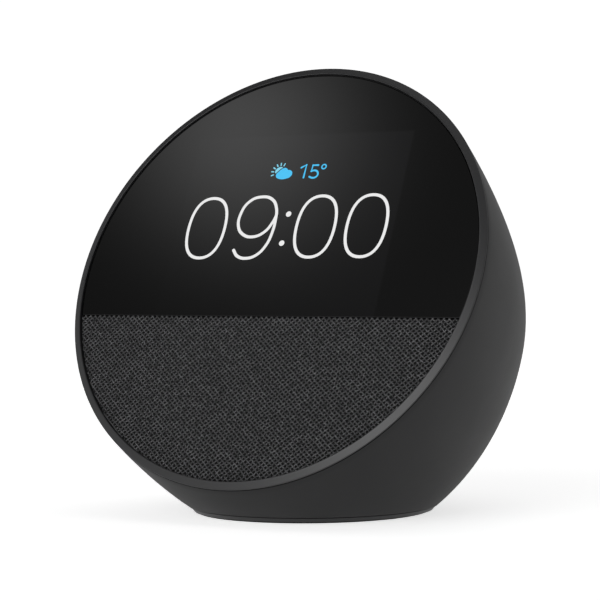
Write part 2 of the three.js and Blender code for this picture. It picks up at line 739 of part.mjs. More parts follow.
const capRadius = neckRadius - touching;
const capSteps = 4;
const capCorners = [[0, coneBack + capRadius * capRise]];
for (let i = 1; i <= capSteps; i += 1) {
  const angle = (Math.PI / 2) * (1 - i / capSteps);
  capCorners.push([capRadius * Math.cos(angle), coneBack + capRadius * capRise * Math.sin(angle)]);
}
capCorners.push([capRadius - coneThickness, coneBack]);
capCorners.push([0, coneBack + capRadius * capHollow]);
addPiece(speaker, 'speaker_dust_cap', turned(capCorners), paper);

const coilTop = coneBack - touching;
addPiece(speaker, 'speaker_voice_coil',
  ring(coilRadius - coilThickness, coilRadius, coilTop - coilLength, coilTop), copper);

const spiderLevel = coneBack - coneTravel - touching - spiderThickness;
addPiece(speaker, 'speaker_spider',
  ring(coilRadius + running, spiderRadius, spiderLevel - spiderThickness, spiderLevel), fabric);

addPiece(speaker, 'speaker_top_plate',
  ring(coilRadius + running, topPlateRadius, topPlateFront - topPlateThickness, topPlateFront), steel);
addPiece(speaker, 'speaker_magnet',
  ring(magnetInner, magnetRadius, magnetFront - magnetThickness, magnetFront), ferrite);
addPiece(speaker, 'speaker_yoke', turned([
  [0, yokeFront - yokeThickness],
  [topPlateRadius, yokeFront - yokeThickness],
  [topPlateRadius, yokeFront],
  [poleRadius, yokeFront],
  [poleRadius, topPlateFront],
  [0, topPlateFront],
]), steel);

speakerScrewPlaces.forEach(([x, y], i) => {
  const piece = screw(speakerScrewLength).rotateX(Math.PI)
    .translate(x, y - speakerCentre, flangeBack - touching / 2);
  addPiece(speaker, `speaker_screw_${i + 1}`, piece, steel);
});

// ================= Main board =================

const boardMiddle = -(boardTop + boardBottom) / 2;
let board = solid(box(boardWidth, boardHeight, boardThickness, 0, boardCentre, boardMiddle));
for (const [x, y] of boardScrewPlaces) {
  const hole = disc(screwShankRadius + touching, -2 * boardBottom, 0, screwSides);
  board = board.subtract(solid(hole.translate(x, y, 0)));
}
addPiece(face, 'main_board', board, circuitBoard);
boardScrewPlaces.forEach(([x, y], i) => {
  const piece = screw(boardScrewLength).rotateX(Math.PI).translate(x, y, -boardBottom - touching / 2);
  addPiece(face, `board_screw_${i + 1}`, piece, steel);
});

const chipTop = boardBottom + touching;
addPiece(face, 'processor_chip',
  box(chipSize, chipSize, chipThickness, 0, boardCentre, -chipTop - chipThickness / 2), chipBlack);

function makeShield() {
  const outer = box(shieldWidth, shieldHeight, shieldDepth, 0, boardCentre, -chipTop - shieldDepth / 2);
  const room = shieldDepth - sheetWall;
  const inner = box(shieldWidth - 2 * sheetWall, shieldHeight - 2 * sheetWall, room + through,
    0, boardCentre, -chipTop - (room - through) / 2);
  return solid(outer).subtract(solid(inner));
}

addPiece(face, 'processor_shield', makeShield(), steel);
const padTop = chipTop + shieldDepth + touching;
addPiece(face, 'thermal_pad',
  box(padSize, padSize, padThickness, 0, boardCentre, -padTop - padThickness / 2), rubber);
const spreaderTop = padTop + padThickness + touching;
addPiece(face, 'heat_spreader', box(spreaderWidth, spreaderHeight, spreaderThickness,
  0, boardCentre, -spreaderTop - spreaderThickness / 2), aluminium);

// A flat cable from the display, through the frame's slot and up to the main board.
function makeRibbon() {
  const start = trayTop + trayThickness + touching;
  const end = boardTop - touching;
  const low = ribbonSlotY - ribbonSlotMargin;
  const top = low + ribbonLength;
  const points = [
    [start, low], [end, low], [end, top], [end - ribbonThickness, top],
    [end - ribbonThickness, low + ribbonThickness], [start, low + ribbonThickness],
  ].map(([depth, y]) => new THREE.Vector2(depth, y));
  return new THREE.ExtrudeGeometry(new THREE.Shape(points), { depth: ribbonWidth, bevelEnabled: false })
    .translate(0, 0, -ribbonWidth / 2).rotateY(Math.PI / 2);
}

addPiece(face, 'display_ribbon', makeRibbon(), ribbonAmber);

// Each wire leaves the basket's side, bows out behind the main board and ends on it.
const basketTaper = (basketMouth - basketFoot) * (wireDrop / basketDepth);
const wireStart = speakerCentre + basketMouth - basketTaper + wireRadius + wireGap;
[[-1, 'speaker_wire_plus', wireRed], [1, 'speaker_wire_minus', wireBlack]].forEach(([side, name, finish]) => {
  const route = [
    [side * wireSpread, wireStart, -behindFrame + flangeBack - wireDrop],
    [side * (wireSpread + 1), wireStart + 4, -boardBottom - wireSlack],
    [side * (wireSpread + 4), boardLowerEdge + 2, -boardBottom - wireSlack - 1],
    [side * (wireSpread + 5), boardLowerEdge + 5, -boardBottom - wireRadius - touching],
  ];
  addPiece(face, name, tube(route, wireRadius, wireSteps), finish);
});

// ================= Buttons =================

const buttonNames = ['volume_down', 'microphone_off', 'volume_up'];
const intoButtons = buttons.matrixWorld.clone().invert();
const buttonSkin = solid(toWorld(bodySolid(-buttonProud), face).applyMatrix4(intoButtons));
const plungerTop = -switchLevel + plungerLength / 2;

buttonNames.forEach((name, i) => {
  const x = (i - 1) * buttonPitch;
  const flange = flangeTop(x) - touching;
  const cap = solid(disc(buttonRadius, flange - buttonFlangeThickness, buttonPitch).translate(x, 0, 0));
  const collar = disc(buttonRadius + buttonFlange, flange - buttonFlangeThickness, flange).translate(x, 0, 0);
  const stem = disc(stemRadius, plungerTop + touching, flange - buttonFlangeThickness / 2, screwSides);
  const button = cap.intersect(buttonSkin).add(solid(collar)).add(solid(stem.translate(x, 0, 0)));
  addPiece(buttons, `${name}_button`, button, plastic);

  const body = box(switchSize, switchSize, switchHeight, x, 0, -switchLevel - switchHeight / 2);
  const well = disc(plungerRadius + running, -switchLevel - plungerLength - buttonTravel, 0, screwSides);
  addPiece(buttons, `${name}_switch`, solid(body).subtract(solid(well.translate(x, 0, 0))), chipBlack);
  const plunger = disc(plungerRadius, plungerTop - plungerLength, plungerTop, screwSides).translate(x, 0, 0);
  addPiece(buttons, `${name}_plunger`, plunger, steel);
});

addPiece(buttons, 'button_board', box(buttonBoardWidth, buttonBoardDepth, boardThickness,
  0, 0, -buttonBoardTop - boardThickness / 2), circuitBoard);
[[-1, 'microphone_left'], [1, 'microphone_right']].forEach(([side, name]) => {
  const piece = box(microphoneSize, microphoneSize, microphoneHeight,
    side * microphoneOffset, 0, -buttonBoardTop + touching + microphoneHeight / 2);
  addPiece(buttons, name, piece, aluminium);
});

// ================= Power inlet =================

function makeJack() {
  const back = inletFloor - inletWall - touching;
  const body = box(jackWidth, jackLength, jackWidth, 0, back - jackLength / 2, 0);
  const nose = alongY(disc(jackNoseRadius, back - jackNoseRoot, inletFloor));
  const bore = alongY(ring(jackPinRadius, jackBoreRadius, inletFloor - jackBoreDepth, inletFloor + through));
  const pinTip = alongY(disc(jackBoreRadius, inletFloor - jackPinSetback, inletFloor + 2 * through));
  return solid(body).add(solid(nose)).subtract(solid(bore)).subtract(solid(pinTip));
}

addPiece(model, 'power_jack', asGeometry(makeJack()).translate(0, 0, inletHeight), chipBlack);
const jackBoardY = inletFloor - inletWall - touching - jackLength / 2;
addPiece(model, 'jack_board', box(jackWidth + 2 * jackBoardMargin, jackLength, boardThickness,
  0, jackBoardY, inletHeight - jackWidth / 2 - touching - boardThickness / 2), circuitBoard);

// ================= Base =================

function makeBasePlate() {
  const bandTop = shellBottom - touching;
  const pocketTop = footThickness + touching;
  let base = solid(plate(baseOutline(0, bandInset), bandBottom, bandTop));
  base = base.add(solid(plate(baseOutline(wall + running), bandBottom + touching, plugTop)));
  base = base.subtract(solid(plate(baseOutline(0, footMargin - touching), -through, pocketTop)));
  for (const [x, y] of baseScrewPlaces) {
    const hole = disc(screwShankRadius + touching, 0, 2 * plugTop, screwSides);
    const recess = disc(screwHeadRadius + touching, 0, pocketTop + baseHeadDepth, screwSides);
    base = base.subtract(solid(hole.translate(x, y, 0))).subtract(solid(recess.translate(x, y, 0)));
  }
  return base;
}

addPiece(model, 'base_plate', makeBasePlate(), plastic);
addPiece(model, 'rubber_foot', plate(baseOutline(0, footMargin), 0, footThickness), rubber);
baseScrewPlaces.forEach(([x, y], i) => {
  const seat = footThickness + baseHeadDepth + touching / 2;
  const piece = screw(baseScrewLength).rotateX(Math.PI).translate(x, y, seat);
  addPiece(model, `base_screw_${i + 1}`, piece, steel);
});

export default model;
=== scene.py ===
import bpy
import bmesh
import json
import math
import numpy as np
from mathutils import Matrix, Vector


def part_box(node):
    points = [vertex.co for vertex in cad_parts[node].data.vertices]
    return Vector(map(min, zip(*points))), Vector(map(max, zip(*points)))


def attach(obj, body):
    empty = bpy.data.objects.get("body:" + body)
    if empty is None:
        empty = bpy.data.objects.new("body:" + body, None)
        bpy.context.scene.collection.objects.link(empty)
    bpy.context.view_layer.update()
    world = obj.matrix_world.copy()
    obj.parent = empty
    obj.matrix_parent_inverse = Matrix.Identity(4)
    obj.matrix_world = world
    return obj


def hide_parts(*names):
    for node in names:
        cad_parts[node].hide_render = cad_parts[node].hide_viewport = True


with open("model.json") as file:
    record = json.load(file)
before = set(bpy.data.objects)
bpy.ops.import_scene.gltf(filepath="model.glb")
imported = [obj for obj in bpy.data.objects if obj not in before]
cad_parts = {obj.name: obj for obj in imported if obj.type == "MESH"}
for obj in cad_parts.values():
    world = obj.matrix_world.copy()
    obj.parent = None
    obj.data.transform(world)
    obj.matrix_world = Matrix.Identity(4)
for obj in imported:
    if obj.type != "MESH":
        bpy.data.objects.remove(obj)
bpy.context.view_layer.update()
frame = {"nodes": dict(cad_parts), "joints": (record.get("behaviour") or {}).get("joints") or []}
print("frame loaded:", len(frame["nodes"]), "nodes")


def mm(value):
    return value / 1000


def hexColour(code):
    channels = [int(code[i:i + 2], 16) / 255 for i in (1, 3, 5)]
    linear = [c / 12.92 if c <= 0.04045 else ((c + 0.055) / 1.055) ** 2.4 for c in channels]
    return (*linear, 1)


def setInputs(node, values):
    for key, value in values.items():
        if isinstance(key, int) or key in node.inputs:
            node.inputs[key].default_value = value
        else:
            setattr(node, key, value)


def addNode(tree, kind, settings=None, links=None):
    node = tree.nodes.new(kind)
    setInputs(node, settings or {})
    for key, source in (links or {}).items():
        tree.links.new(source, node.inputs[key])
    return node


def newMaterial(name, shaderValues):
    material = bpy.data.materials.new(name)
    material.use_nodes = True
    tree = material.node_tree
    shader = tree.nodes["Principled BSDF"]
    setInputs(shader, shaderValues)
    return material, tree, shader


# two joints give the directions that everything on the face and under the buttons is placed by
joints = {joint["name"]: joint for joint in frame["joints"]}
faceNormal = Vector(joints["speaker_cone_travel"]["axis"]).normalized()
buttonNormal = -Vector(joints["volume_up_press"]["axis"]).normalized()
bezelLow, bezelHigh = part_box("bezel_ring")
faceRadius = (bezelHigh.x - bezelLow.x) / 2
faceUp = Vector((0, faceNormal.z, -faceNormal.y))
faceCentre = Vector((0, bezelLow.y + faceRadius * faceUp.y, bezelHigh.z - faceRadius * faceUp.z))


def frameAt(origin, up, out):
    columns = Matrix((up.cross(out), up, out)).transposed()
    return Matrix.Translation(origin) @ columns.to_4x4()


faceFrame = frameAt(faceCentre, faceUp, faceNormal)

bodyForm = {"depth": mm(79), "fullness": 1.9, "bluntness": 2.6, "upperSlope": 0.33,
            "upperRecovery": 0.36, "lowerFullness": 0.3, "rearLift": mm(4.2)}


def sectionAt(depth):
    t = min(depth / bodyForm["depth"], 1)
    half = faceRadius * (1 - t ** bodyForm["fullness"]) ** (1 / bodyForm["bluntness"])
    upper = 1 - bodyForm["upperSlope"] * t + bodyForm["upperRecovery"] * t * t
    lower = 1 + bodyForm["lowerFullness"] * t
    return half, upper, lower, bodyForm["rearLift"] * t ** 4


# camera, at the angle the object is usually shown from
view = {"lens": 129.7, "offset": (0.26968, -0.45069, -0.0036), "turn": 30.16, "dip": 0.37}


def addCamera():
    data = bpy.data.cameras.new("camera")
    data.lens = view["lens"]
    data.clip_end = 20
    camera = bpy.data.objects.new("camera", data)
    camera.location = faceCentre + Vector(view["offset"])
    camera.rotation_euler = (math.radians(90 - view["dip"]), 0, math.radians(view["turn"]))
    bpy.context.scene.collection.objects.link(camera)
    bpy.context.scene.camera = camera


addCamera()


# small modelling helpers

def deselectAll():
    if bpy.context.object and bpy.context.object.mode != "OBJECT":
        bpy.ops.object.mode_set(mode="OBJECT")
    bpy.ops.object.select_all(action="DESELECT")


def activate(piece):
    deselectAll()
    piece.select_set(True)
    bpy.context.view_layer.objects.active = piece


def editMode(piece):
    activate(piece)
    bpy.ops.object.mode_set(mode="EDIT")
    bpy.ops.mesh.select_all(action="DESELECT")


def objectMode():
    bpy.ops.object.mode_set(mode="OBJECT")


def pick(kind, test):
    # selects the vertices, edges or faces of the edited mesh that pass the test
    bpy.ops.mesh.select_mode(type=kind)
    bpy.ops.mesh.select_all(action="DESELECT")
    shape = bmesh.from_edit_mesh(bpy.context.object.data)
    items = {"VERT": shape.verts, "EDGE": shape.edges, "FACE": shape.faces}[kind]
    for item in items:
        item.select_set(bool(test(item)))
    shape.select_flush_mode()
    bmesh.update_edit_mesh(bpy.context.object.data)


def selectAll():
    bpy.ops.mesh.select_all(action="SELECT")


def faceOutward():
    selectAll()
    bpy.ops.mesh.normals_make_consistent(inside=False)


def roundEdges(radius, segments=3):
    bpy.ops.mesh.bevel(offset=mm(radius), segments=segments, affect="EDGES", clamp_overlap=True)


def growEdges(height, ratio):
    # draws the picked edge ring out by a height and scales the new ring
    bpy.ops.mesh.extrude_edges_move(TRANSFORM_OT_translate={"value": (0, 0, height)})
    bpy.ops.transform.resize(value=(ratio, ratio, 1), center_override=(0, 0, 0))


def edgeMiddle(edge):
    return (edge.verts[0].co + edge.verts[1].co) / 2


def applyModifier(piece, kind, **settings):
    activate(piece)
    modifier = piece.modifiers.new(kind.lower(), kind)
    for key, value in settings.items():
        setattr(modifier, key, value)
    bpy.ops.object.modifier_apply(modifier=modifier.name)


def carve(piece, cutter, operation="DIFFERENCE"):
    applyModifier(piece, "BOOLEAN", object=cutter, operation=operation, solver="EXACT")
    bpy.data.objects.remove(cutter)


def place(piece, where=None):
    # puts the piece where it belongs and leaves its object at the origin
    activate(piece)
    if where is not None:
        piece.matrix_world = where
    bpy.ops.object.transform_apply(location=True, rotation=True, scale=True)


def turnRing(name, corners, sides=128, closed=False):
    # a circle extruded from corner to corner of a [radius, height] outline, in millimetres
    radius, height = corners[0]
    bpy.ops.mesh.primitive_circle_add(vertices=sides, radius=mm(radius), location=(0, 0, mm(height)))
    piece = bpy.context.object
    piece.name = name
    place(piece)
    bpy.ops.object.mode_set(mode="EDIT")
    selectAll()
    for (r1, z1), (r2, z2) in zip(corners, corners[1:]):
        growEdges(mm(z2 - z1), r2 / r1)
    bpy.ops.mesh.select_mode(type="EDGE")
    bpy.ops.mesh.select_all(action="DESELECT")
    bpy.ops.mesh.select_non_manifold()
    if closed:
        bpy.ops.mesh.bridge_edge_loops()
    else:
        bpy.ops.mesh.edge_face_add()
    faceOutward()
    objectMode()
    return piece


def finishPiece(piece, name, body, material, replaced=(), angle=35, flatFaces=False):
    activate(piece)
    bpy.ops.object.shade_smooth_by_angle(angle=math.radians(angle))
    if flatFaces:
        applyModifier(piece, "WEIGHTED_NORMAL", keep_sharp=True, weight=60)
    piece.name = name
    piece.data.name = name
    piece.data.materials.clear()
    piece.data.materials.append(material)
    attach(piece, body)
    if replaced:
        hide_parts(*replaced)
    print("made", name, len(piece.data.polygons), "faces")
    return piece


# materials

def mouldedPlastic(name, look):
    # moulded ABS blend with a spark-eroded skin: a soft sheen broken up by very fine even grain
    material, tree, shader = newMaterial(name, {
        "Base Color": hexColour(look["colour"]), "Roughness": look["roughness"], "IOR": 1.5,
        "Specular IOR Level": look["shine"]})
    coordinates = addNode(tree, "ShaderNodeTexCoord").outputs["Object"]
    grain = addNode(tree, "ShaderNodeTexNoise", {
        "Scale": 1 / mm(look["grain"]), "Detail": 3, "Roughness": 0.6}, {"Vector": coordinates})
    cloud = addNode(tree, "ShaderNodeTexNoise", {"Scale": 1 / mm(look["cloud"]), "Detail": 2},
                    {"Vector": coordinates})
    mix = addNode(tree, "ShaderNodeMix", {"data_type": "RGBA", 6: hexColour(look["dark"]),
                                          7: hexColour(look["colour"])}, {0: grain.outputs["Fac"]})
    tree.links.new(mix.outputs[2], shader.inputs["Base Color"])
    rough = addNode(tree, "ShaderNodeMapRange", {"To Min": look["roughness"] - 0.04,
                                                 "To Max": look["roughness"] + 0.04},
                    {"Value": cloud.outputs["Fac"]})
    tree.links.new(rough.outputs["Result"], shader.inputs["Roughness"])
    bump = addNode(tree, "ShaderNodeBump", {"Strength": look["bump"], "Distance": mm(look["grainDepth"])},
                   {"Height": grain.outputs["Fac"]})
    tree.links.new(bump.outputs["Normal"], shader.inputs["Normal"])
    return material


# grain of 0.25 mm is drawn a little coarser than the real 0.1 mm, so that it shows at all
housingLook = {"colour": "#171718", "dark": "#111112", "roughness": 0.52, "shine": 0.42,
               "grain": 0.25, "cloud": 14, "bump": 0.35, "grainDepth": 0.03}
bezelLook = {"colour": "#232325", "dark": "#1d1d1e", "roughness": 0.36, "shine": 0.7,
             "grain": 0.22, "cloud": 12, "bump": 0.25, "grainDepth": 0.02}
innerLook = {"colour": "#3b3b3d", "dark": "#303032", "roughness": 0.6, "shine": 0.5,
             "grain": 0.4, "cloud": 10, "bump": 0.2, "grainDepth": 0.03}
housingPlastic = mouldedPlastic("spark_eroded_black_abs", housingLook)
bezelPlastic = mouldedPlastic("satin_moulded_black_abs", bezelLook)
innerPlastic = mouldedPlastic("plain_moulded_grey_abs", innerLook)

glassLook = {"colour": "#010101", "displayGlow": "#0a0a0b", "roughness": 0.03, "panelBlur": 0.3,
             "glowFrom": -20, "glowTo": 50, "leastGlow": 0.1}


def coverGlassMaterial():
    # polished soda-lime glass printed black behind: sharp reflections, and a faint glow over the display
    material, tree, shader = newMaterial("polished_back_printed_glass", {
        "Base Color": hexColour(glassLook["colour"]), "Roughness": glassLook["roughness"], "IOR": 1.5})
    low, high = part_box("display_panel")
    turned = faceFrame.inverted()
    sideEdge = (high.x - low.x) / 2
    lowEdge = (turned @ Vector((0, low.y, low.z))).y
    highEdge = (turned @ Vector((0, high.y, high.z))).y
    blur = mm(glassLook["panelBlur"])
    coordinates = addNode(tree, "ShaderNodeTexCoord").outputs["Object"]
    flat = addNode(tree, "ShaderNodeMapping", {
        "vector_type": "POINT", "Location": turned.translation, "Rotation": turned.to_euler()},
        {"Vector": coordinates})
    parts = addNode(tree, "ShaderNodeSeparateXYZ", {}, {0: flat.outputs["Vector"]})
    across = addNode(tree, "ShaderNodeMath", {"operation": "ABSOLUTE"}, {0: parts.outputs["X"]})
    inWidth = addNode(tree, "ShaderNodeMapRange", {
        "From Min": sideEdge + blur, "From Max": sideEdge - blur}, {"Value": across.outputs[0]})
    inHeight = addNode(tree, "ShaderNodeMapRange", {
        "From Min": highEdge + blur, "From Max": highEdge - blur}, {"Value": parts.outputs["Y"]})
    aboveEdge = addNode(tree, "ShaderNodeMapRange", {
        "From Min": lowEdge - blur, "From Max": lowEdge + blur}, {"Value": parts.outputs["Y"]})
    both = addNode(tree, "ShaderNodeMath", {"operation": "MULTIPLY"},
                   {0: inWidth.outputs["Result"], 1: inHeight.outputs["Result"]})
    inPanel = addNode(tree, "ShaderNodeMath", {"operation": "MULTIPLY"},
                      {0: both.outputs[0], 1: aboveEdge.outputs["Result"]})
    # the panel shows most towards its upper right corner
    slant = addNode(tree, "ShaderNodeMath", {"operation": "ADD"},
                    {0: parts.outputs["X"], 1: parts.outputs["Y"]})
    corner = addNode(tree, "ShaderNodeMapRange", {
        "From Min": mm(glassLook["glowFrom"]), "From Max": mm(glassLook["glowTo"]),
        "To Min": glassLook["leastGlow"], "To Max": 1}, {"Value": slant.outputs[0]})
    shown = addNode(tree, "ShaderNodeMath", {"operation": "MULTIPLY"},
                    {0: inPanel.outputs[0], 1: corner.outputs["Result"]})
    glow = addNode(tree, "ShaderNodeMix", {"data_type": "RGBA", 6: (0, 0, 0, 1),
                                           7: hexColour(glassLook["displayGlow"])}, {0: shown.outputs[0]})
    tree.links.new(glow.outputs[2], shader.inputs["Emission Color"])
    shader.inputs["Emission Strength"].default_value = 1
    return material


coverGlass = coverGlassMaterial()


def litMaterial(name, colour, strength):
    # light-emitting picture elements behind the glass: an even colour that no lamp changes
    material, tree, shader = newMaterial(name, {
        "Base Color": (0, 0, 0, 1), "Roughness": 1, "Specular IOR Level": 0})
    coordinates = addNode(tree, "ShaderNodeTexCoord").outputs["Object"]
    cells = addNode(tree, "ShaderNodeTexNoise", {"Scale": 1 / mm(0.9), "Detail": 1},
                    {"Vector": coordinates})
    shade = addNode(tree, "ShaderNodeMapRange", {"To Min": 0.96, "To Max": 1.04},
                    {"Value": cells.outputs["Fac"]})
    tint = addNode(tree, "ShaderNodeVectorMath", {"operation": "SCALE", 0: hexColour(colour)[:3]},
                   {"Scale": shade.outputs["Result"]})
    tree.links.new(tint.outputs[0], shader.inputs["Emission Color"])
    shader.inputs["Emission Strength"].default_value = strength
    return material


clockWhite = litMaterial("lit_white_pixels", "#ededed", 1)
weatherBlue = litMaterial("lit_blue_pixels", "#52c4f6", 1)
sunBlue = litMaterial("lit_pale_blue_pixels", "#86d3ea", 1)


# the palest ramp colour is a painted glint, put on the fibres at random spots
yarnLook = {"light": "#3b3b3d", "dark": "#161617", "paintedGlint": "#a8a8aa", "roughness": 0.75,
            "fibre": 0.22, "patch": 1.3, "darkTo": 0.45, "lightAt": 0.6, "paintedGlintFrom": 0.9}


def yarnMaterial():
    # spun polyester yarn, dyed black: dull threads; the pale specks are painted glints, standing in for
    # fibres catching light here and there
    material, tree, shader = newMaterial("woven_black_polyester", {
        "Roughness": yarnLook["roughness"], "IOR": 1.5, "Specular IOR Level": 0.35,
        "Sheen Weight": 0.25, "Sheen Roughness": 0.4})
    coordinates = addNode(tree, "ShaderNodeTexCoord").outputs["Object"]
    fibre = addNode(tree, "ShaderNodeTexNoise", {
        "Scale": 1 / mm(yarnLook["fibre"]), "Detail": 2, "Roughness": 0.7}, {"Vector": coordinates})
    patch = addNode(tree, "ShaderNodeTexNoise", {"Scale": 1 / mm(yarnLook["patch"]), "Detail": 2},
                    {"Vector": coordinates})
    both = addNode(tree, "ShaderNodeMath", {"operation": "MULTIPLY_ADD", 1: 0.25},
                   {0: patch.outputs["Fac"], 2: fibre.outputs["Fac"]})
    ramp = addNode(tree, "ShaderNodeValToRGB", {}, {0: both.outputs[0]})
    ramp.color_ramp.elements[0].position = yarnLook["darkTo"]
    ramp.color_ramp.elements[0].color = hexColour(yarnLook["dark"])
    # painted glints: the top of the ramp paints pale specks that stand in for fibres catching light
    ramp.color_ramp.elements[1].position = yarnLook["paintedGlintFrom"]
    ramp.color_ramp.elements[1].color = hexColour(yarnLook["paintedGlint"])
    middle = ramp.color_ramp.elements.new(yarnLook["lightAt"])
    middle.color = hexColour(yarnLook["light"])
    tree.links.new(ramp.outputs["Color"], shader.inputs["Base Color"])
    bump = addNode(tree, "ShaderNodeBump", {"Strength": 0.6, "Distance": mm(0.05)},
                   {"Height": fibre.outputs["Fac"]})
    tree.links.new(bump.outputs["Normal"], shader.inputs["Normal"])
    return material


yarn = yarnMaterial()


def grainedMaterial(name, look):
    # one recipe for the plain inner materials: a fine grain in the colour, the gloss and the surface
    values = {"Metallic": look.get("metallic", 0), "Roughness": look["roughness"]}
    if not look.get("metallic"):
        values["IOR"] = 1.5
    material, tree, shader = newMaterial(name, values)
    coordinates = addNode(tree, "ShaderNodeTexCoord").outputs["Object"]
    stretched = addNode(tree, "ShaderNodeMapping", {"Scale": look.get("stretch", (1, 1, 1))},
                        {"Vector": coordinates})
    grain = addNode(tree, "ShaderNodeTexNoise", {"Scale": 1 / mm(look["grain"]), "Detail": 4},
                    {"Vector": stretched.outputs["Vector"]})
    mix = addNode(tree, "ShaderNodeMix", {"data_type": "RGBA", 6: hexColour(look["dark"]),
                                          7: hexColour(look["colour"])}, {0: grain.outputs["Fac"]})
    tree.links.new(mix.outputs[2], shader.inputs["Base Color"])
    rough = addNode(tree, "ShaderNodeMapRange", {"To Min": look["roughness"] - 0.08,
                                                 "To Max": look["roughness"] + 0.08},
                    {"Value": grain.outputs["Fac"]})
    tree.links.new(rough.outputs["Result"], shader.inputs["Roughness"])
    bump = addNode(tree, "ShaderNodeBump", {"Strength": 0.3, "Distance": mm(0.02)},
                   {"Height": grain.outputs["Fac"]})
    tree.links.new(bump.outputs["Normal"], shader.inputs["Normal"])
    return material


# grain in millimetres; a stretch below 1 along an axis draws the grain out into rolling or winding lines
innerLooks = {
    "zinc_plated_steel": {"colour": "#b8babd", "dark": "#94969a", "roughness": 0.36, "grain": 0.6,
                          "metallic": 1},
    "enamelled_copper_wire": {"colour": "#c8713a", "dark": "#8f4a22", "roughness": 0.3, "grain": 0.5,
                              "metallic": 1, "stretch": (0.1, 0.1, 2)},
    "rolled_aluminium": {"colour": "#c9cbce", "dark": "#aeb0b4", "roughness": 0.34, "grain": 0.5,
                         "metallic": 1, "stretch": (0.06, 1, 1)},
    "ground_ferrite": {"colour": "#48484b", "dark": "#333335", "roughness": 0.55, "grain": 0.5},
    "moulded_nitrile_rubber": {"colour": "#1c1c1c", "dark": "#131313", "roughness": 0.8, "grain": 0.35},
    "pressed_paper_pulp": {"colour": "#2a2a2c", "dark": "#1b1b1d", "roughness": 0.9, "grain": 0.8},
    "solder_masked_glass_epoxy": {"colour": "#17553a", "dark": "#0f3f2b", "roughness": 0.38,
                                  "grain": 1.5},
    "moulded_epoxy": {"colour": "#1b1b1b", "dark": "#121212", "roughness": 0.45, "grain": 0.3},
    "polyimide_film": {"colour": "#b8741f", "dark": "#8d5512", "roughness": 0.3, "grain": 2},
    "liquid_crystal_panel": {"colour": "#101014", "dark": "#0a0a0d", "roughness": 0.15, "grain": 3},
    "red_wire_insulation": {"colour": "#961b1b", "dark": "#741212", "roughness": 0.45, "grain": 1},
    "black_wire_insulation": {"colour": "#1a1a1a", "dark": "#111111", "roughness": 0.45, "grain": 1},
}
inner = {name: grainedMaterial(name, look) for name, look in innerLooks.items()}

innerNodes = {
    "zinc_plated_steel": ["frame_screw", "board_screw", "base_screw", "speaker_screw", "speaker_basket",
                          "speaker_top_plate", "speaker_yoke", "display_tray", "processor_shield",
                          "_plunger"],
    "enamelled_copper_wire": ["speaker_voice_coil"],
    "rolled_aluminium": ["heat_spreader", "microphone_left", "microphone_right"],
    "ground_ferrite": ["speaker_magnet"],
    "moulded_nitrile_rubber": ["speaker_gasket", "speaker_surround", "thermal_pad", "rubber_foot"],
    "pressed_paper_pulp": ["speaker_cone", "speaker_dust_cap"],
    "solder_masked_glass_epoxy": ["main_board", "button_board", "jack_board"],
    "moulded_epoxy": ["processor_chip", "_switch", "power_jack"],
    "polyimide_film": ["display_ribbon"],
    "liquid_crystal_panel": ["display_panel"],
    "red_wire_insulation": ["speaker_wire_plus"],
    "black_wire_insulation": ["speaker_wire_minus"],
}


def dressFrame():
    for nodeName, node in frame["nodes"].items():
        material = innerPlastic
        for finish, words in innerNodes.items():
            if any(word in nodeName for word in words):
                material = inner[finish]
        if nodeName == "speaker_spider":
            material = yarn
        if not node.data.materials:
            node.data.materials.append(material)
        for materialSlot in node.material_slots:
            materialSlot.material = material


dressFrame()
print("materials made")


# rear shell

shell = {"sides": 160, "rings": 56, "wall": 2.0, "seam": 0.55, "bottom": 1.5, "rimRound": 0.25,
         "buttonStation": 18, "buttonHole": 4.35, "buttonHoleRound": 0.3, "microphoneHole": 0.6,
         "microphoneHoleRound": 0.15, "microphoneOffset": 20.5, "inletRadius": 5.5, "inletWall": 1.6,
         "inletDepth": 8, "inletMouth": 0.5, "noseHole": 4.0}


def loftBody(name):
    # a circle drawn back ring by ring, then flattened above and filled out below its widest line
    depths = [mm(shell["seam"])]
    for i in range(1, shell["rings"]):
        depth = bodyForm["depth"] * math.sin(math.pi / 2 * (i / shell["rings"]) ** 0.95)
        if depth > depths[0] + mm(0.5):
            depths.append(depth)
    half = sectionAt(depths[0])[0]
    bpy.ops.mesh.primitive_circle_add(vertices=shell["sides"], radius=half, location=(0, 0, -depths[0]))
    piece = bpy.context.object
    piece.name = name
    place(piece)
    bpy.ops.object.mode_set(mode="EDIT")
    selectAll()
    for before, after in zip(depths, depths[1:]):
        growEdges(before - after, sectionAt(after)[0] / sectionAt(before)[0])
    last = depths[-1] - bodyForm["depth"]
    bpy.ops.mesh.extrude_edges_move(TRANSFORM_OT_translate={"value": (0, 0, last)})
    bpy.ops.mesh.merge(type="CENTER")
    tiny = mm(0.001)
    for depth in depths + [bodyForm["depth"]]:
        half, upper, lower, lift = sectionAt(depth)
        pick("VERT", lambda v: abs(v.co.z + depth) < tiny and v.co.y > tiny)
        bpy.ops.transform.resize(value=(1, upper, 1), center_override=(0, 0, 0))
        pick("VERT", lambda v: abs(v.co.z + depth) < tiny and v.co.y < -tiny)
        bpy.ops.transform.resize(value=(1, lower, 1), center_override=(0, 0, 0))
        pick("VERT", lambda v: abs(v.co.z + depth) < tiny)
        bpy.ops.transform.translate(value=(0, lift, 0))
    faceOutward()
    objectMode()
    place(piece, faceFrame)
    return piece


def copyOf(piece, name):
    activate(piece)
    bpy.ops.object.duplicate()
    twin = bpy.context.object
    twin.name = name
    return twin


skin = loftBody("body_skin")
print("body lofted")

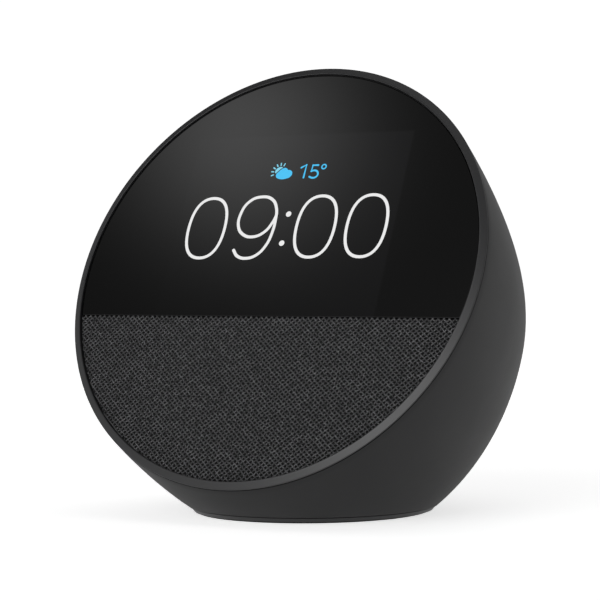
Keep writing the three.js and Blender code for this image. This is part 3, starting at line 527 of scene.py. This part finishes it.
buttonHalf, buttonUpper, _, buttonLift = sectionAt(mm(shell["buttonStation"]))
buttonOrigin = faceFrame @ Vector((0, buttonLift + buttonHalf * buttonUpper, -mm(shell["buttonStation"])))
buttonFrame = frameAt(buttonOrigin, buttonNormal.cross(Vector((1, 0, 0))), buttonNormal)
buttonNames = ["volume_down", "microphone_off", "volume_up"]
buttonPlaces = [sum(corner.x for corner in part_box(name + "_button")) / 2 for name in buttonNames]


def surfaceDrop(x):
    # how far the shell's top lies below its crest, at x to the side
    drop = buttonHalf * buttonUpper * (1 - math.sqrt(1 - (x / buttonHalf) ** 2))
    return drop * buttonNormal.dot(faceUp)


def mouthCutter(radius, rounding, deep, high):
    # a cylinder that flares at height 0, so that the hole it cuts has a rounded mouth
    corners = [[radius, -deep], [radius, -rounding]]
    steps = 5
    for i in range(1, steps + 1):
        angle = math.pi / 2 * i / steps
        corners.append([radius + rounding * (1 - math.cos(angle)), -rounding + rounding * math.sin(angle)])
    corners.append([radius + rounding, high])
    return turnRing("cutter", corners, sides=64)


def makeRearShell():
    piece = copyOf(skin, "rear_shell_new")
    editMode(piece)
    selectAll()
    bpy.ops.mesh.bisect(plane_co=(0, 0, mm(shell["bottom"])), plane_no=(0, 0, 1), clear_inner=True,
                        threshold=1e-7)
    objectMode()
    applyModifier(piece, "SOLIDIFY", thickness=mm(shell["wall"]), offset=-1, use_even_offset=True,
                  use_quality_normals=True)
    editMode(piece)
    rim = faceRadius - mm(1)
    toFace = faceFrame.inverted()

    def onRims(edge):
        if len(edge.link_faces) != 2 or edge.calc_face_angle(0) < math.radians(50):
            return False
        low = all(abs(v.co.z - mm(shell["bottom"])) < mm(0.05) for v in edge.verts)
        front = all((toFace @ v.co).z > -mm(0.7) and (toFace @ v.co).xy.length > rim for v in edge.verts)
        return low or front

    pick("EDGE", onRims)
    roundEdges(shell["rimRound"])
    objectMode()
    holes = [(x, shell["buttonHole"], shell["buttonHoleRound"]) for x in buttonPlaces]
    for x in (-mm(shell["microphoneOffset"]), mm(shell["microphoneOffset"])):
        holes.append((x, shell["microphoneHole"], shell["microphoneHoleRound"]))
    for x, radius, rounding in holes:
        cutter = mouthCutter(radius, rounding, 8, 5)
        place(cutter, buttonFrame @ Matrix.Translation((x, 0, -surfaceDrop(x))))
        carve(piece, cutter)
    return piece


def inletFrame():
    # z runs out of the back of the shell; its height 0 is the recess floor
    low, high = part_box("power_jack")
    origin = Vector(((low.x + high.x) / 2, high.y, (low.z + high.z) / 2))
    return frameAt(origin, Vector((0, 0, 1)), Vector((0, 1, 0)))


def cutInlet(piece):
    # a cup behind the wall, bored out with a flared mouth, with a hole for the jack's nose in its floor
    back = inletFrame()
    radius, wall = shell["inletRadius"], shell["inletWall"]
    deep, mouth = shell["inletDepth"], shell["inletMouth"]
    cup = turnRing("cup", [[radius + wall, -wall], [radius + wall, deep - 1]], sides=96)
    place(cup, back)
    carve(piece, cup, "UNION")
    corners = [[radius, 0], [radius, deep - mouth]]
    steps = 6
    for i in range(1, steps + 1):
        angle = math.pi / 2 * i / steps
        corners.append([radius + mouth * (1 - math.cos(angle)), deep - mouth * (1 - math.sin(angle))])
    corners.append([radius + mouth, deep + 6])
    bore = turnRing("bore", corners, sides=96)
    place(bore, back)
    carve(piece, bore)
    nose = turnRing("nose_hole", [[shell["noseHole"], -3], [shell["noseHole"], 1]], sides=64)
    place(nose, back)
    carve(piece, nose)


rearShell = makeRearShell()
cutInlet(rearShell)
finishPiece(rearShell, "rear_shell_skin", "housing", housingPlastic, ["rear_shell"])


# bezel ring

bezel = {"inner": 54.6, "rise": 0.6, "edge": 0.25, "spigot": 1.65, "spigotDepth": 2.6, "ledge": 53.0,
         "ledgeLevel": 1.35, "round": 0.12, "sides": 256}


def makeBezel():
    outer = faceRadius * 1000
    piece = turnRing("bezel", [
        [bezel["inner"], -bezel["ledgeLevel"]], [bezel["inner"], bezel["rise"]],
        [bezel["inner"] + bezel["edge"], bezel["rise"]], [outer, 0], [outer, -bezel["edge"]],
        [outer - bezel["spigot"], -bezel["edge"]], [outer - bezel["spigot"], -bezel["spigotDepth"]],
        [bezel["ledge"], -bezel["spigotDepth"]], [bezel["ledge"], -bezel["ledgeLevel"]]],
        sides=bezel["sides"], closed=True)
    editMode(piece)
    shown = [bezel["inner"], bezel["inner"] + bezel["edge"], outer]

    def onShownEdge(edge):
        around = abs(edge.verts[0].co.z - edge.verts[1].co.z) < 1e-7
        middle = edge.verts[0].co
        return around and middle.z > -mm(bezel["edge"] / 2) and any(
            abs(middle.xy.length - mm(r)) < 1e-6 for r in shown) and abs(
            edge.verts[0].co.xy.length - edge.verts[1].co.xy.length) < 1e-6

    pick("EDGE", onShownEdge)
    roundEdges(bezel["round"])
    objectMode()
    place(piece, faceFrame)
    return finishPiece(piece, "bezel_trim", "housing", bezelPlastic, ["bezel_ring"],
                       30, True)


makeBezel()


# cover glass

glass = {"radius": 54.3, "top": 0.05, "thickness": 1.1, "split": -12.03, "round": 0.12, "sides": 256}


def makeGlass():
    bpy.ops.mesh.primitive_cylinder_add(
        vertices=glass["sides"], radius=mm(glass["radius"]), depth=mm(glass["thickness"]),
        location=(0, 0, mm(glass["top"] - glass["thickness"] / 2)))
    piece = bpy.context.object
    place(piece)
    editMode(piece)
    selectAll()
    bpy.ops.mesh.bisect(plane_co=(0, mm(glass["split"]), 0), plane_no=(0, 1, 0), clear_inner=True,
                        use_fill=True, threshold=1e-7)
    top = mm(glass["top"])
    pick("EDGE", lambda e: all(abs(v.co.z - top) < 1e-6 for v in e.verts) and e.calc_face_angle(0) > 1)
    roundEdges(glass["round"])
    objectMode()
    place(piece, faceFrame)
    return finishPiece(piece, "cover_lens", "housing", coverGlass, ["cover_glass"], 30, True)


makeGlass()


# lit picture on the display: the time and the weather

picture = {"lift": 0.035, "thickness": 0.05, "strokeWidth": 0.8, "zeroWidth": 10.7, "zeroHeight": 16.6,
           "squareness": 0.655, "zeroPlaces": [-22.1, 9.23, 23.3], "clockLevel": 11.98,
           "dotPlace": 0.81, "dotLevels": [15.47, 7.54], "dotWidth": 1.5}
ninePoints = [(-12.55, 5.75), (-11.1, 4.15), (-8.35, 3.5), (-5.55, 4.45), (-3.55, 7.0), (-2.65, 10.4),
              (-2.55, 13.9), (-3.1, 17.2), (-4.85, 19.6), (-7.9, 20.4), (-11.3, 19.2), (-13.1, 15.6),
              (-12.75, 12.1), (-11.0, 10.1), (-8.1, 9.35), (-5.0, 10.6), (-3.2, 13.3), (-2.6, 15.2)]
cloudPoints = [(-4.95, 25.5), (-5.42, 25.95), (-5.52, 26.6), (-5.0, 27.3), (-4.2, 28.05), (-3.45, 28.38),
               (-2.8, 28.2), (-2.4, 27.8), (-1.75, 27.68), (-1.15, 27.25), (-0.98, 26.6), (-1.25, 25.95),
               (-1.9, 25.5)]
sunPoints = [(-5.85, 26.95), (-6.02, 27.45), (-5.75, 28.1), (-5.2, 28.52), (-4.6, 28.66), (-4.12, 28.5),
             (-4.45, 28.2), (-4.95, 27.78), (-5.45, 27.25)]
rays = {"count": 6, "first": 69, "step": 26.6, "centre": (-4.55, 27.2), "inner": 1.9, "outer": 2.5,
        "width": 0.34}
degree = {"centre": (7.7, 28.38), "radius": 0.6, "width": 0.36}
onePoints = [(1.3, 28.3), (2.62, 29.0), (2.56, 25.5)]
fivePoints = [(6.0, 28.86), (4.5, 28.86), (4.38, 27.2), (5.1, 27.42), (5.95, 27.2), (6.4, 26.55),
              (6.3, 25.85), (5.7, 25.42), (4.9, 25.4), (4.15, 25.7)]
weatherStroke = 0.5


def newCurve(name, points, closed, handles="AUTO"):
    data = bpy.data.curves.new(name, "CURVE")
    data.dimensions = "3D"
    data.resolution_u = 12
    spline = data.splines.new("BEZIER")
    spline.bezier_points.add(len(points) - 1)
    for point, (x, y) in zip(spline.bezier_points, points):
        point.co = (mm(x), mm(y), 0)
        point.handle_left_type = handles
        point.handle_right_type = handles
    spline.use_cyclic_u = closed
    curve = bpy.data.objects.new(name, data)
    bpy.context.scene.collection.objects.link(curve)
    return curve


def strokeAlong(curve, width, thickness=None, level=None):
    # a round stroke along the curve, pressed flat
    curve.data.bevel_depth = mm(width / 2)
    curve.data.bevel_resolution = 3
    curve.data.use_fill_caps = True
    return pressed(curve, (thickness or picture["thickness"]) / width, level)


def pressed(curve, flatness, level=None):
    # turns the curve into a mesh, thins it and sets it at its level, or just over the glass
    activate(curve)
    bpy.ops.object.convert(target="MESH")
    stroke = bpy.context.object
    bpy.ops.object.mode_set(mode="EDIT")
    selectAll()
    bpy.ops.mesh.remove_doubles(threshold=mm(0.002))
    bpy.ops.transform.resize(value=(1, 1, flatness), center_override=(0, 0, 0))
    height = glass["top"] + picture["lift"] if level is None else level
    bpy.ops.transform.translate(value=(0, 0, mm(height)))
    bpy.ops.mesh.normals_make_consistent(inside=False)
    objectMode()
    return stroke


def dotAt(x, y, width):
    bpy.ops.mesh.primitive_uv_sphere_add(segments=24, ring_count=12, radius=mm(width / 2),
                                         location=(mm(x), mm(y), 0))
    dot = bpy.context.object
    place(dot)
    bpy.ops.object.mode_set(mode="EDIT")
    selectAll()
    bpy.ops.transform.resize(value=(1, 1, picture["thickness"] / width), center_override=(0, 0, 0))
    bpy.ops.transform.translate(value=(0, 0, mm(glass["top"] + picture["lift"])))
    objectMode()
    return dot


def filledShape(name, points):
    curve = newCurve(name, points, True)
    curve.data.dimensions = "2D"
    curve.data.fill_mode = "BOTH"
    curve.data.extrude = mm(picture["thickness"] / 2)
    return pressed(curve, 1)


def joined(pieces, name):
    deselectAll()
    for piece in pieces:
        piece.select_set(True)
    bpy.context.view_layer.objects.active = pieces[0]
    bpy.ops.object.join()
    whole = bpy.context.object
    whole.name = name
    return whole


def makeZero(x):
    width, height, level = picture["zeroWidth"] / 2, picture["zeroHeight"] / 2, picture["clockLevel"]
    curve = newCurve("zero", [(width, 0), (0, height), (-width, 0), (0, -height)], True, "FREE")
    reach = picture["squareness"]
    for point in curve.data.splines[0].bezier_points:
        along = Vector((-point.co.y / height * width, point.co.x / width * height, 0)) * reach
        point.handle_left = point.co - along
        point.handle_right = point.co + along
    curve.location = (mm(x), mm(level), 0)
    activate(curve)
    bpy.ops.object.transform_apply(location=True, rotation=True, scale=True)
    return strokeAlong(curve, picture["strokeWidth"])


def makePicture():
    clock = [makeZero(x) for x in picture["zeroPlaces"]]
    clock.append(strokeAlong(newCurve("nine", ninePoints, False), picture["strokeWidth"]))
    clock.append(dotAt(*ninePoints[0], picture["strokeWidth"]))
    clock += [dotAt(picture["dotPlace"], level, picture["dotWidth"]) for level in picture["dotLevels"]]
    time = joined(clock, "shown_time")
    place(time, faceFrame)
    finishPiece(time, "shown_time", "housing", clockWhite)

    blue = [filledShape("cloud", cloudPoints)]
    blue.append(strokeAlong(newCurve("one", onePoints, False, "VECTOR"), weatherStroke))
    blue += [dotAt(*point, weatherStroke) for point in onePoints]
    five = newCurve("five", fivePoints, False)
    for point in list(five.data.splines[0].bezier_points)[:3]:
        point.handle_left_type = "VECTOR"
        point.handle_right_type = "VECTOR"
    blue.append(strokeAlong(five, weatherStroke))
    blue += [dotAt(*fivePoints[i], weatherStroke) for i in (0, 1, 2, -1)]
    ring = [(degree["centre"][0] + degree["radius"] * math.cos(i * math.pi / 2),
             degree["centre"][1] + degree["radius"] * math.sin(i * math.pi / 2)) for i in range(4)]
    blue.append(strokeAlong(newCurve("degree", ring, True), degree["width"]))
    weather = joined(blue, "shown_weather")
    place(weather, faceFrame)
    finishPiece(weather, "shown_weather", "housing", weatherBlue)

    pale = [filledShape("sun", sunPoints)]
    for i in range(rays["count"]):
        angle = math.radians(rays["first"] + i * rays["step"])
        ends = [(rays["centre"][0] + r * math.cos(angle), rays["centre"][1] + r * math.sin(angle))
                for r in (rays["inner"], rays["outer"])]
        pale.append(strokeAlong(newCurve("ray", ends, False, "VECTOR"), rays["width"]))
        pale += [dotAt(*end, rays["width"]) for end in ends]
    sun = joined(pale, "shown_sun")
    place(sun, faceFrame)
    finishPiece(sun, "shown_sun", "housing", sunBlue)


makePicture()


# speaker cloth: the open weave over a dark sheet whose near-black colour is painted shade, standing in for
# the shade seen between the threads

cloth = {"radius": 54.45, "edgeLine": -12.12, "top": 0.05, "pitch": 0.935, "lean": 40.5,
         "threadWidth": 0.26, "threadHeight": 0.28, "wave": 0.2, "roll": 0.7, "rollDrop": 0.35,
         "jitter": 0.055, "unevenness": 0.14, "seed": 7, "shadeSheetLevel": -0.6, "shadeSheetThickness": 0.2,
         "shadeSheetRings": [54.3, 54.15, 54.0, 53.85, 53.6, 52.5]}


def clothLevel(x, y):
    # flat in the middle, rolled down where it tucks in round the rim
    inside = np.clip((cloth["radius"] - np.hypot(x, y)) / cloth["roll"], 0, 1)
    return -cloth["rollDrop"] * (1 - np.sqrt(1 - (1 - inside) ** 2))


def threadSpan(start, along):
    # where a straight thread enters and leaves the cloth's outline
    middle = -start @ along
    chord = cloth["radius"] ** 2 - start @ start + middle ** 2
    if chord <= 0:
        return None
    low, high = middle - math.sqrt(chord), middle + math.sqrt(chord)
    high = min(high, (cloth["edgeLine"] - start[1]) / along[1])
    return (low, high) if high - low > cloth["pitch"] else None


def threadTube(points, widths, along):
    # a six-sided flattened tube along one thread, closed at both ends
    sides = 6
    across = np.array([-along[1], along[0], 0])
    angles = np.arange(sides) * 2 * math.pi / sides
    ringShape = (np.outer(np.cos(angles), across)[None] * widths[:, None, None]
                 + np.outer(np.sin(angles), [0, 0, 1])[None] * cloth["threadHeight"] / 2)
    vertices = (points[:, None, :] + ringShape).reshape(-1, 3)
    faces = []
    for i in range(len(points) - 1):
        for j in range(sides):
            a, b = i * sides + j, i * sides + (j + 1) % sides
            faces.append((a, b, b + sides, a + sides))
    last = (len(points) - 1) * sides
    faces.append(tuple(range(sides))[::-1])
    faces.append(tuple(last + j for j in range(sides)))
    return vertices, faces


def weaveThreads(name, family):
    # one family of parallel threads, over and under the other family by turns
    chance = np.random.default_rng(cloth["seed"] + family)
    lean = math.radians(cloth["lean"])
    turn = lean if family == 0 else math.pi - lean
    direction = 1 if family == 0 else -1
    along = np.array([math.cos(turn), math.sin(turn)])
    across = np.array([-along[1], along[0]])
    spacing = cloth["pitch"] / math.sin(2 * lean)
    reach = int(cloth["radius"] / cloth["pitch"]) + 2
    vertices, faces, count = [], [], 0
    for k in range(-reach, reach + 1):
        start = k * cloth["pitch"] * across
        span = threadSpan(start, along)
        if span is None:
            continue
        phase = -direction * k * math.cos(2 * lean) * spacing
        first = math.ceil((span[0] - phase) / spacing * 2 + 0.3)
        last = math.floor((span[1] - phase) / spacing * 2 - 0.3)
        halves = np.arange(first, last + 1)
        if len(halves) < 2:
            continue
        stations = np.concatenate([[span[0]], phase + halves * spacing / 2, [span[1]]])
        steps = np.concatenate([[halves[0] - 1], halves, [halves[-1] + 1]])
        over = np.cos(math.pi * (steps / 2 + k)) * direction
        drift = chance.normal(0, cloth["jitter"], len(stations))
        flat = start + np.outer(stations, along) + np.outer(drift, across)
        level = clothLevel(flat[:, 0], flat[:, 1]) + cloth["top"] - cloth["threadHeight"] / 2
        height = level - cloth["wave"] / 2 * (1 - over)
        width = cloth["threadWidth"] / 2 * (1 + chance.normal(0, cloth["unevenness"], len(stations)))
        tubeVertices, tubeFaces = threadTube(np.column_stack([flat, height]), width, along)
        vertices.append(tubeVertices)
        faces += [tuple(count + index for index in face) for face in tubeFaces]
        count += len(tubeVertices)
    mesh = bpy.data.meshes.new(name)
    mesh.from_pydata((np.concatenate(vertices) / 1000).tolist(), [], faces)
    piece = bpy.data.objects.new(name, mesh)
    bpy.context.scene.collection.objects.link(piece)
    editMode(piece)
    faceOutward()
    objectMode()
    place(piece, faceFrame)
    return finishPiece(piece, name, "housing", yarn, (), 80)


def makeShadeSheet():
    # the same outline as a thin sheet, set a little lower; its near-black colour is painted shade, and it
    # is what shows dark between the threads
    radii = cloth["shadeSheetRings"]
    levels = [float(clothLevel(radius, 0)) + cloth["shadeSheetLevel"] for radius in radii]
    bpy.ops.mesh.primitive_circle_add(vertices=192, radius=mm(radii[0]), location=(0, 0, mm(levels[0])))
    piece = bpy.context.object
    place(piece)
    bpy.ops.object.mode_set(mode="EDIT")
    selectAll()
    for r1, r2, z1, z2 in zip(radii, radii[1:], levels, levels[1:]):
        growEdges(mm(z2 - z1), r2 / r1)
    bpy.ops.mesh.edge_face_add()
    selectAll()
    bpy.ops.mesh.bisect(plane_co=(0, mm(cloth["edgeLine"]), 0), plane_no=(0, 1, 0), clear_outer=True,
                        threshold=1e-7)
    faceOutward()
    objectMode()
    applyModifier(piece, "SOLIDIFY", thickness=mm(cloth["shadeSheetThickness"]), offset=-1)
    place(piece, faceFrame)
    return finishPiece(piece, "cloth_shade_sheet", "housing", shadeSheetMaterial, ["fabric_cover"], 40)


# painted shade: this near-black colour stands in for the shade that falls between and behind the threads
shadeSheetLook = {"colour": "#101011", "dark": "#080809", "roughness": 0.9, "grain": 0.3}
shadeSheetMaterial = grainedMaterial("painted_shade_sheet", shadeSheetLook)
clothThreads = [weaveThreads("cloth_warp", 0), weaveThreads("cloth_weft", 1)]
shadeSheet = makeShadeSheet()


# base band and rubber foot

base = {"bandTop": 1.4, "taper": 0.9, "inset": 0.35, "round": 0.3, "plugInset": 2.35, "footInset": 2.2,
        "pocketClearance": 0.3, "footRound": 0.15}
plateLow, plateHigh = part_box("base_plate")
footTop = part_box("rubber_foot")[1].z


def outlineFace(name, level):
    # the body's outline at one height, as one face
    piece = copyOf(skin, name)
    editMode(piece)
    selectAll()
    bpy.ops.mesh.bisect(plane_co=(0, 0, level), plane_no=(0, 0, 1), clear_inner=True, clear_outer=True,
                        threshold=1e-7)
    selectAll()
    bpy.ops.mesh.remove_doubles(threshold=mm(0.05))
    bpy.ops.mesh.select_mode(type="EDGE")
    selectAll()
    bpy.ops.mesh.edge_face_add()
    return piece


def keepInset(thickness):
    # insets the only face and drops the rim that is left round it
    bpy.ops.mesh.select_mode(type="FACE")
    selectAll()
    bpy.ops.mesh.inset(thickness=mm(thickness), depth=0)
    bpy.ops.mesh.select_all(action="INVERT")
    bpy.ops.mesh.delete(type="FACE")
    selectAll()


def raiseFaces(height):
    bpy.ops.mesh.extrude_region_move(TRANSFORM_OT_translate={"value": (0, 0, height)})


def pickFlat(level):
    # selects the faces that lie flat at one height
    pick("FACE", lambda f: abs(f.normal.z) > 0.9 and abs(f.calc_center_median().z - level) < 1e-6)


def makeBase():
    # a band that tapers down, with a plug above it that fills the shell's mouth and a pocket for the foot
    piece = outlineFace("base", mm(shell["bottom"]))
    keepInset(base["inset"])
    bpy.ops.transform.translate(value=(0, 0, mm(base["bandTop"] - shell["bottom"])))
    top = mm(base["bandTop"])
    bottom = plateLow.z
    raiseFaces(bottom - top)
    middle = (plateLow + plateHigh) / 2
    reach = (plateHigh.x - plateLow.x) / 2
    depth = (plateHigh.y - plateLow.y) / 2
    narrowed = 1 - mm(base["taper"]) / reach
    bpy.ops.transform.resize(value=(narrowed, narrowed, 1), center_override=middle)
    faceOutward()
    pickFlat(top)
    bpy.ops.mesh.inset(thickness=mm(base["plugInset"] - base["inset"]), depth=0)
    raiseFaces(plateHigh.z - top)
    pickFlat(bottom)
    bpy.ops.mesh.inset(thickness=mm(base["footInset"] - base["inset"] - base["pocketClearance"]), depth=0)
    raiseFaces(footTop + mm(base["pocketClearance"]) - bottom)

    def onBand(edge):
        # the outer wall's two edges, not those of the plug or of the foot's pocket
        levels = [vertex.co.z for vertex in edge.verts]
        flat = any(all(abs(z - level) < 1e-6 for z in levels) for level in (top, bottom))
        if not flat or len(edge.link_faces) != 2 or edge.calc_face_angle(0) <= 1.2:
            return False
        spot = edgeMiddle(edge) - middle
        outside = (spot.x / reach) ** 2 + (spot.y / depth) ** 2 > 0.93 ** 2
        fewest = min(len(face.verts) for face in edge.link_faces)
        upright = any(abs(face.normal.z) < 0.8 for face in edge.link_faces)
        return outside and fewest == 4 and upright

    pick("EDGE", onBand)
    roundEdges(base["round"])
    objectMode()
    return finishPiece(piece, "base_band", "housing", bezelPlastic, ["base_plate"],
                       40, True)


def makeFoot():
    piece = outlineFace("foot", mm(shell["bottom"]))
    keepInset(base["footInset"])
    bpy.ops.transform.translate(value=(0, 0, -mm(shell["bottom"])))
    raiseFaces(footTop)
    faceOutward()
    pick("EDGE", lambda e: all(v.co.z < 1e-6 for v in e.verts) and e.calc_face_angle(0) > 1)
    roundEdges(base["footRound"], 4)
    objectMode()
    return finishPiece(piece, "foot_pad", "housing", inner["moulded_nitrile_rubber"],
                       ["rubber_foot"], 40)


makeBase()
makeFoot()


# buttons

button = {"radius": 4.0, "proud": 0.3, "round": 0.35, "depth": 5.2, "collar": 4.9, "collarTop": -1.9,
          "collarBottom": -2.9, "stem": 1.2, "stemBottom": -6.1, "markWidth": 0.4, "markHeight": 0.24}


def proudSkin():
    # the body skin grown outwards, which the button caps are cut to
    piece = copyOf(skin, "proud_skin")
    applyModifier(piece, "DISPLACE", mid_level=0, strength=mm(button["proud"]))
    editMode(piece)
    bpy.ops.mesh.select_mode(type="EDGE")
    bpy.ops.mesh.select_non_manifold()
    bpy.ops.mesh.edge_face_add()
    objectMode()
    return piece


# raised symbols on the caps, each a list of strokes: quieter, microphone crossed out, louder
markStrokes = {
    "volume_down": [("VECTOR", False, [(-1.3, 0), (1.3, 0)])],
    "microphone_off": [("AUTO", True, [(0.5, 0.45), (0, 1.5), (-0.5, 0.45), (0, -0.35)]),
                       ("AUTO", False, [(-1.0, 0.3), (-0.72, -0.6), (0, -0.95), (0.72, -0.6), (1.0, 0.3)]),
                       ("VECTOR", False, [(0, -0.95), (0, -1.6)]),
                       ("VECTOR", False, [(-1.4, 1.5), (1.4, -1.5)])],
    "volume_up": [("VECTOR", False, [(-1.3, 0), (1.3, 0)]), ("VECTOR", False, [(0, -1.3), (0, 1.3)])],
}


def makeMark(name, x):
    strokes = []
    for handles, closed, points in markStrokes[name]:
        curve = newCurve("mark", points, closed, handles)
        strokes.append(strokeAlong(curve, button["markWidth"], button["markHeight"], button["proud"]))
    mark = joined(strokes, "mark")
    tilt = math.atan((surfaceDrop(x + mm(0.5)) - surfaceDrop(x - mm(0.5))) / mm(1))
    where = buttonFrame @ Matrix.Translation((x, 0, -surfaceDrop(x))) @ Matrix.Rotation(tilt, 4, "Y")
    place(mark, where)
    finishPiece(mark, name + "_mark", name + "_key", housingPlastic)


def makeButtons():
    grown = proudSkin()
    for name, x in zip(buttonNames, buttonPlaces):
        where = buttonFrame @ Matrix.Translation((x, 0, 0))
        piece = turnRing(name, [[button["radius"], -button["depth"]], [button["radius"], 6]], sides=96)
        place(piece, where)
        applyModifier(piece, "BOOLEAN", object=grown, operation="INTERSECT", solver="EXACT")
        editMode(piece)
        pick("EDGE", lambda e: len(e.link_faces) == 2 and e.calc_face_angle(0) > 0.9
             and (edgeMiddle(e) - buttonOrigin).dot(buttonNormal) > -mm(2.6))
        roundEdges(button["round"], 4)
        objectMode()
        drop = surfaceDrop(x) * 1000
        collarBottom = button["collarBottom"] - drop
        collar = turnRing("collar", [[button["collar"], collarBottom],
                                     [button["collar"], button["collarTop"] - drop]], sides=96)
        place(collar, where)
        carve(piece, collar, "UNION")
        stem = turnRing("stem", [[button["stem"], button["stemBottom"]],
                                 [button["stem"], collarBottom + 0.5]], sides=32)
        place(stem, where)
        carve(piece, stem, "UNION")
        finishPiece(piece, name + "_cap", name + "_key", housingPlastic,
                    [name + "_button"])
        makeMark(name, x)
    bpy.data.objects.remove(grown)


makeButtons()


# power inlet

jack = {"nose": 3.7, "bore": 2.8, "boreDepth": 9, "pin": 0.9, "pinSetback": 1, "width": 9, "length": 12,
        "back": 1.9, "round": 0.4, "lead": 0.3}


def makeJack():
    # a block with a round nose and a bore, and the pin in the middle of the bore
    back = -jack["back"]
    lead = jack["lead"]
    bpy.ops.mesh.primitive_cube_add(size=1, location=(0, 0, 0))
    block = bpy.context.object
    block.scale = (mm(jack["width"]), mm(jack["width"]), mm(jack["length"]))
    block.location = (0, 0, mm(back - jack["length"] / 2))
    place(block)
    editMode(block)
    selectAll()
    bpy.ops.mesh.bevel(offset=mm(jack["round"]), segments=3, affect="EDGES")
    objectMode()
    place(block, inletFrame())
    nose = turnRing("nose", [[jack["nose"], back - 1], [jack["nose"], -lead], [jack["nose"] - lead, 0]],
                    sides=96)
    place(nose, inletFrame())
    carve(block, nose, "UNION")
    bore = mouthCutter(jack["bore"], lead, jack["boreDepth"], 3)
    place(bore, inletFrame())
    carve(block, bore)
    pin = turnRing("pin", [[jack["pin"], -jack["boreDepth"] - 1], [jack["pin"], -jack["pinSetback"] - lead],
                           [jack["pin"] - lead, -jack["pinSetback"]]], sides=32)
    place(pin, inletFrame())
    finishPiece(pin, "inlet_pin", "housing", inner["zinc_plated_steel"])
    return finishPiece(block, "power_inlet", "housing", inner["moulded_epoxy"],
                       ["power_jack"])


makeJack()
bpy.data.objects.remove(skin)


# floor, soft light

studio = {"floor": "#f2f2f2", "floorGlow": 0.68, "floorBounce": 0.3, "backdrop": 1.05,
          "skyLow": 0.5, "skyHigh": 0.08, "blendLow": 0.1, "blendHigh": 0.7,
          "mirroredSpot": (-19, 40), "mirroredReach": 0.05, "mirroredGlow": 1.15}
softLights = {"front": {"aim": (-0.07, -0.9, 0.41), "reach": 0.29, "glow": 4.0},
              "rear": {"aim": (0.1, 0.75, 0.65), "reach": 0.45, "glow": 0.5},
              "top": {"aim": (0.05, 0.1, 1), "reach": 0.45, "glow": 0.55}}


def makeFloor():
    bpy.ops.mesh.primitive_plane_add(size=12, location=(0, 0, 0))
    floor = bpy.context.object
    floor.name = "floor"
    material, tree, shader = newMaterial("matt_white_sweep", {
        "Base Color": hexColour(studio["floor"]), "Roughness": 0.9, "Specular IOR Level": 0.1,
        "Emission Color": (1, 1, 1, 1)})
    # lit up where it is looked at, so that it stays white; it throws less light back on the object
    seen = addNode(tree, "ShaderNodeLightPath").outputs["Is Camera Ray"]
    glow = addNode(tree, "ShaderNodeMix", {"data_type": "FLOAT", 2: studio["floorBounce"],
                                           3: studio["floorGlow"]}, {0: seen})
    tree.links.new(glow.outputs[0], shader.inputs["Emission Strength"])
    floor.data.materials.append(material)


def softGlow(tree, direction, aim, reach, glow, below):
    # one feathered round light in the sky, added to what is already there
    away = addNode(tree, "ShaderNodeVectorMath", {"operation": "DISTANCE", 1: aim}, {0: direction})
    square = addNode(tree, "ShaderNodeMath", {"operation": "POWER", 1: 2}, {0: away.outputs["Value"]})
    falloff = addNode(tree, "ShaderNodeMath", {"operation": "DIVIDE", 1: -reach * reach},
                      {0: square.outputs[0]})
    feather = addNode(tree, "ShaderNodeMath", {"operation": "EXPONENT"}, {0: falloff.outputs[0]})
    return addNode(tree, "ShaderNodeMath", {"operation": "MULTIPLY_ADD", 1: glow},
                   {0: feather.outputs[0], 2: below}).outputs[0]


def makeSky():
    # a pale cove that darkens overhead, a small light that the glass mirrors, and the wide soft ones
    world = bpy.data.worlds.new("studio")
    world.use_nodes = True
    tree = world.node_tree
    background = tree.nodes["Background"]
    background.inputs["Color"].default_value = (1, 1, 1, 1)
    direction = addNode(tree, "ShaderNodeTexCoord").outputs["Generated"]
    height = addNode(tree, "ShaderNodeSeparateXYZ", {}, {0: direction}).outputs["Z"]
    light = addNode(tree, "ShaderNodeMapRange", {
        "interpolation_type": "SMOOTHSTEP", "From Min": studio["blendLow"], "From Max": studio["blendHigh"],
        "To Min": studio["skyLow"], "To Max": studio["skyHigh"]}, {"Value": height}).outputs["Result"]
    spot = faceFrame @ Vector((mm(studio["mirroredSpot"][0]), mm(studio["mirroredSpot"][1]), 0))
    mirrored = (spot - bpy.context.scene.camera.location).normalized().reflect(faceNormal)
    light = softGlow(tree, direction, mirrored, studio["mirroredReach"], studio["mirroredGlow"], light)
    for soft in softLights.values():
        aim = Vector(soft["aim"]).normalized()
        light = softGlow(tree, direction, aim, soft["reach"], soft["glow"], light)
    # the backdrop itself is plain white where it is looked at
    seen = addNode(tree, "ShaderNodeLightPath").outputs["Is Camera Ray"]
    whole = addNode(tree, "ShaderNodeMix", {"data_type": "FLOAT", 3: studio["backdrop"]},
                    {0: seen, 2: light})
    tree.links.new(whole.outputs[0], background.inputs["Strength"])
    bpy.context.scene.world = world


makeFloor()
makeSky()
bpy.context.scene.view_settings.view_transform = "Standard"

print("scene finished")
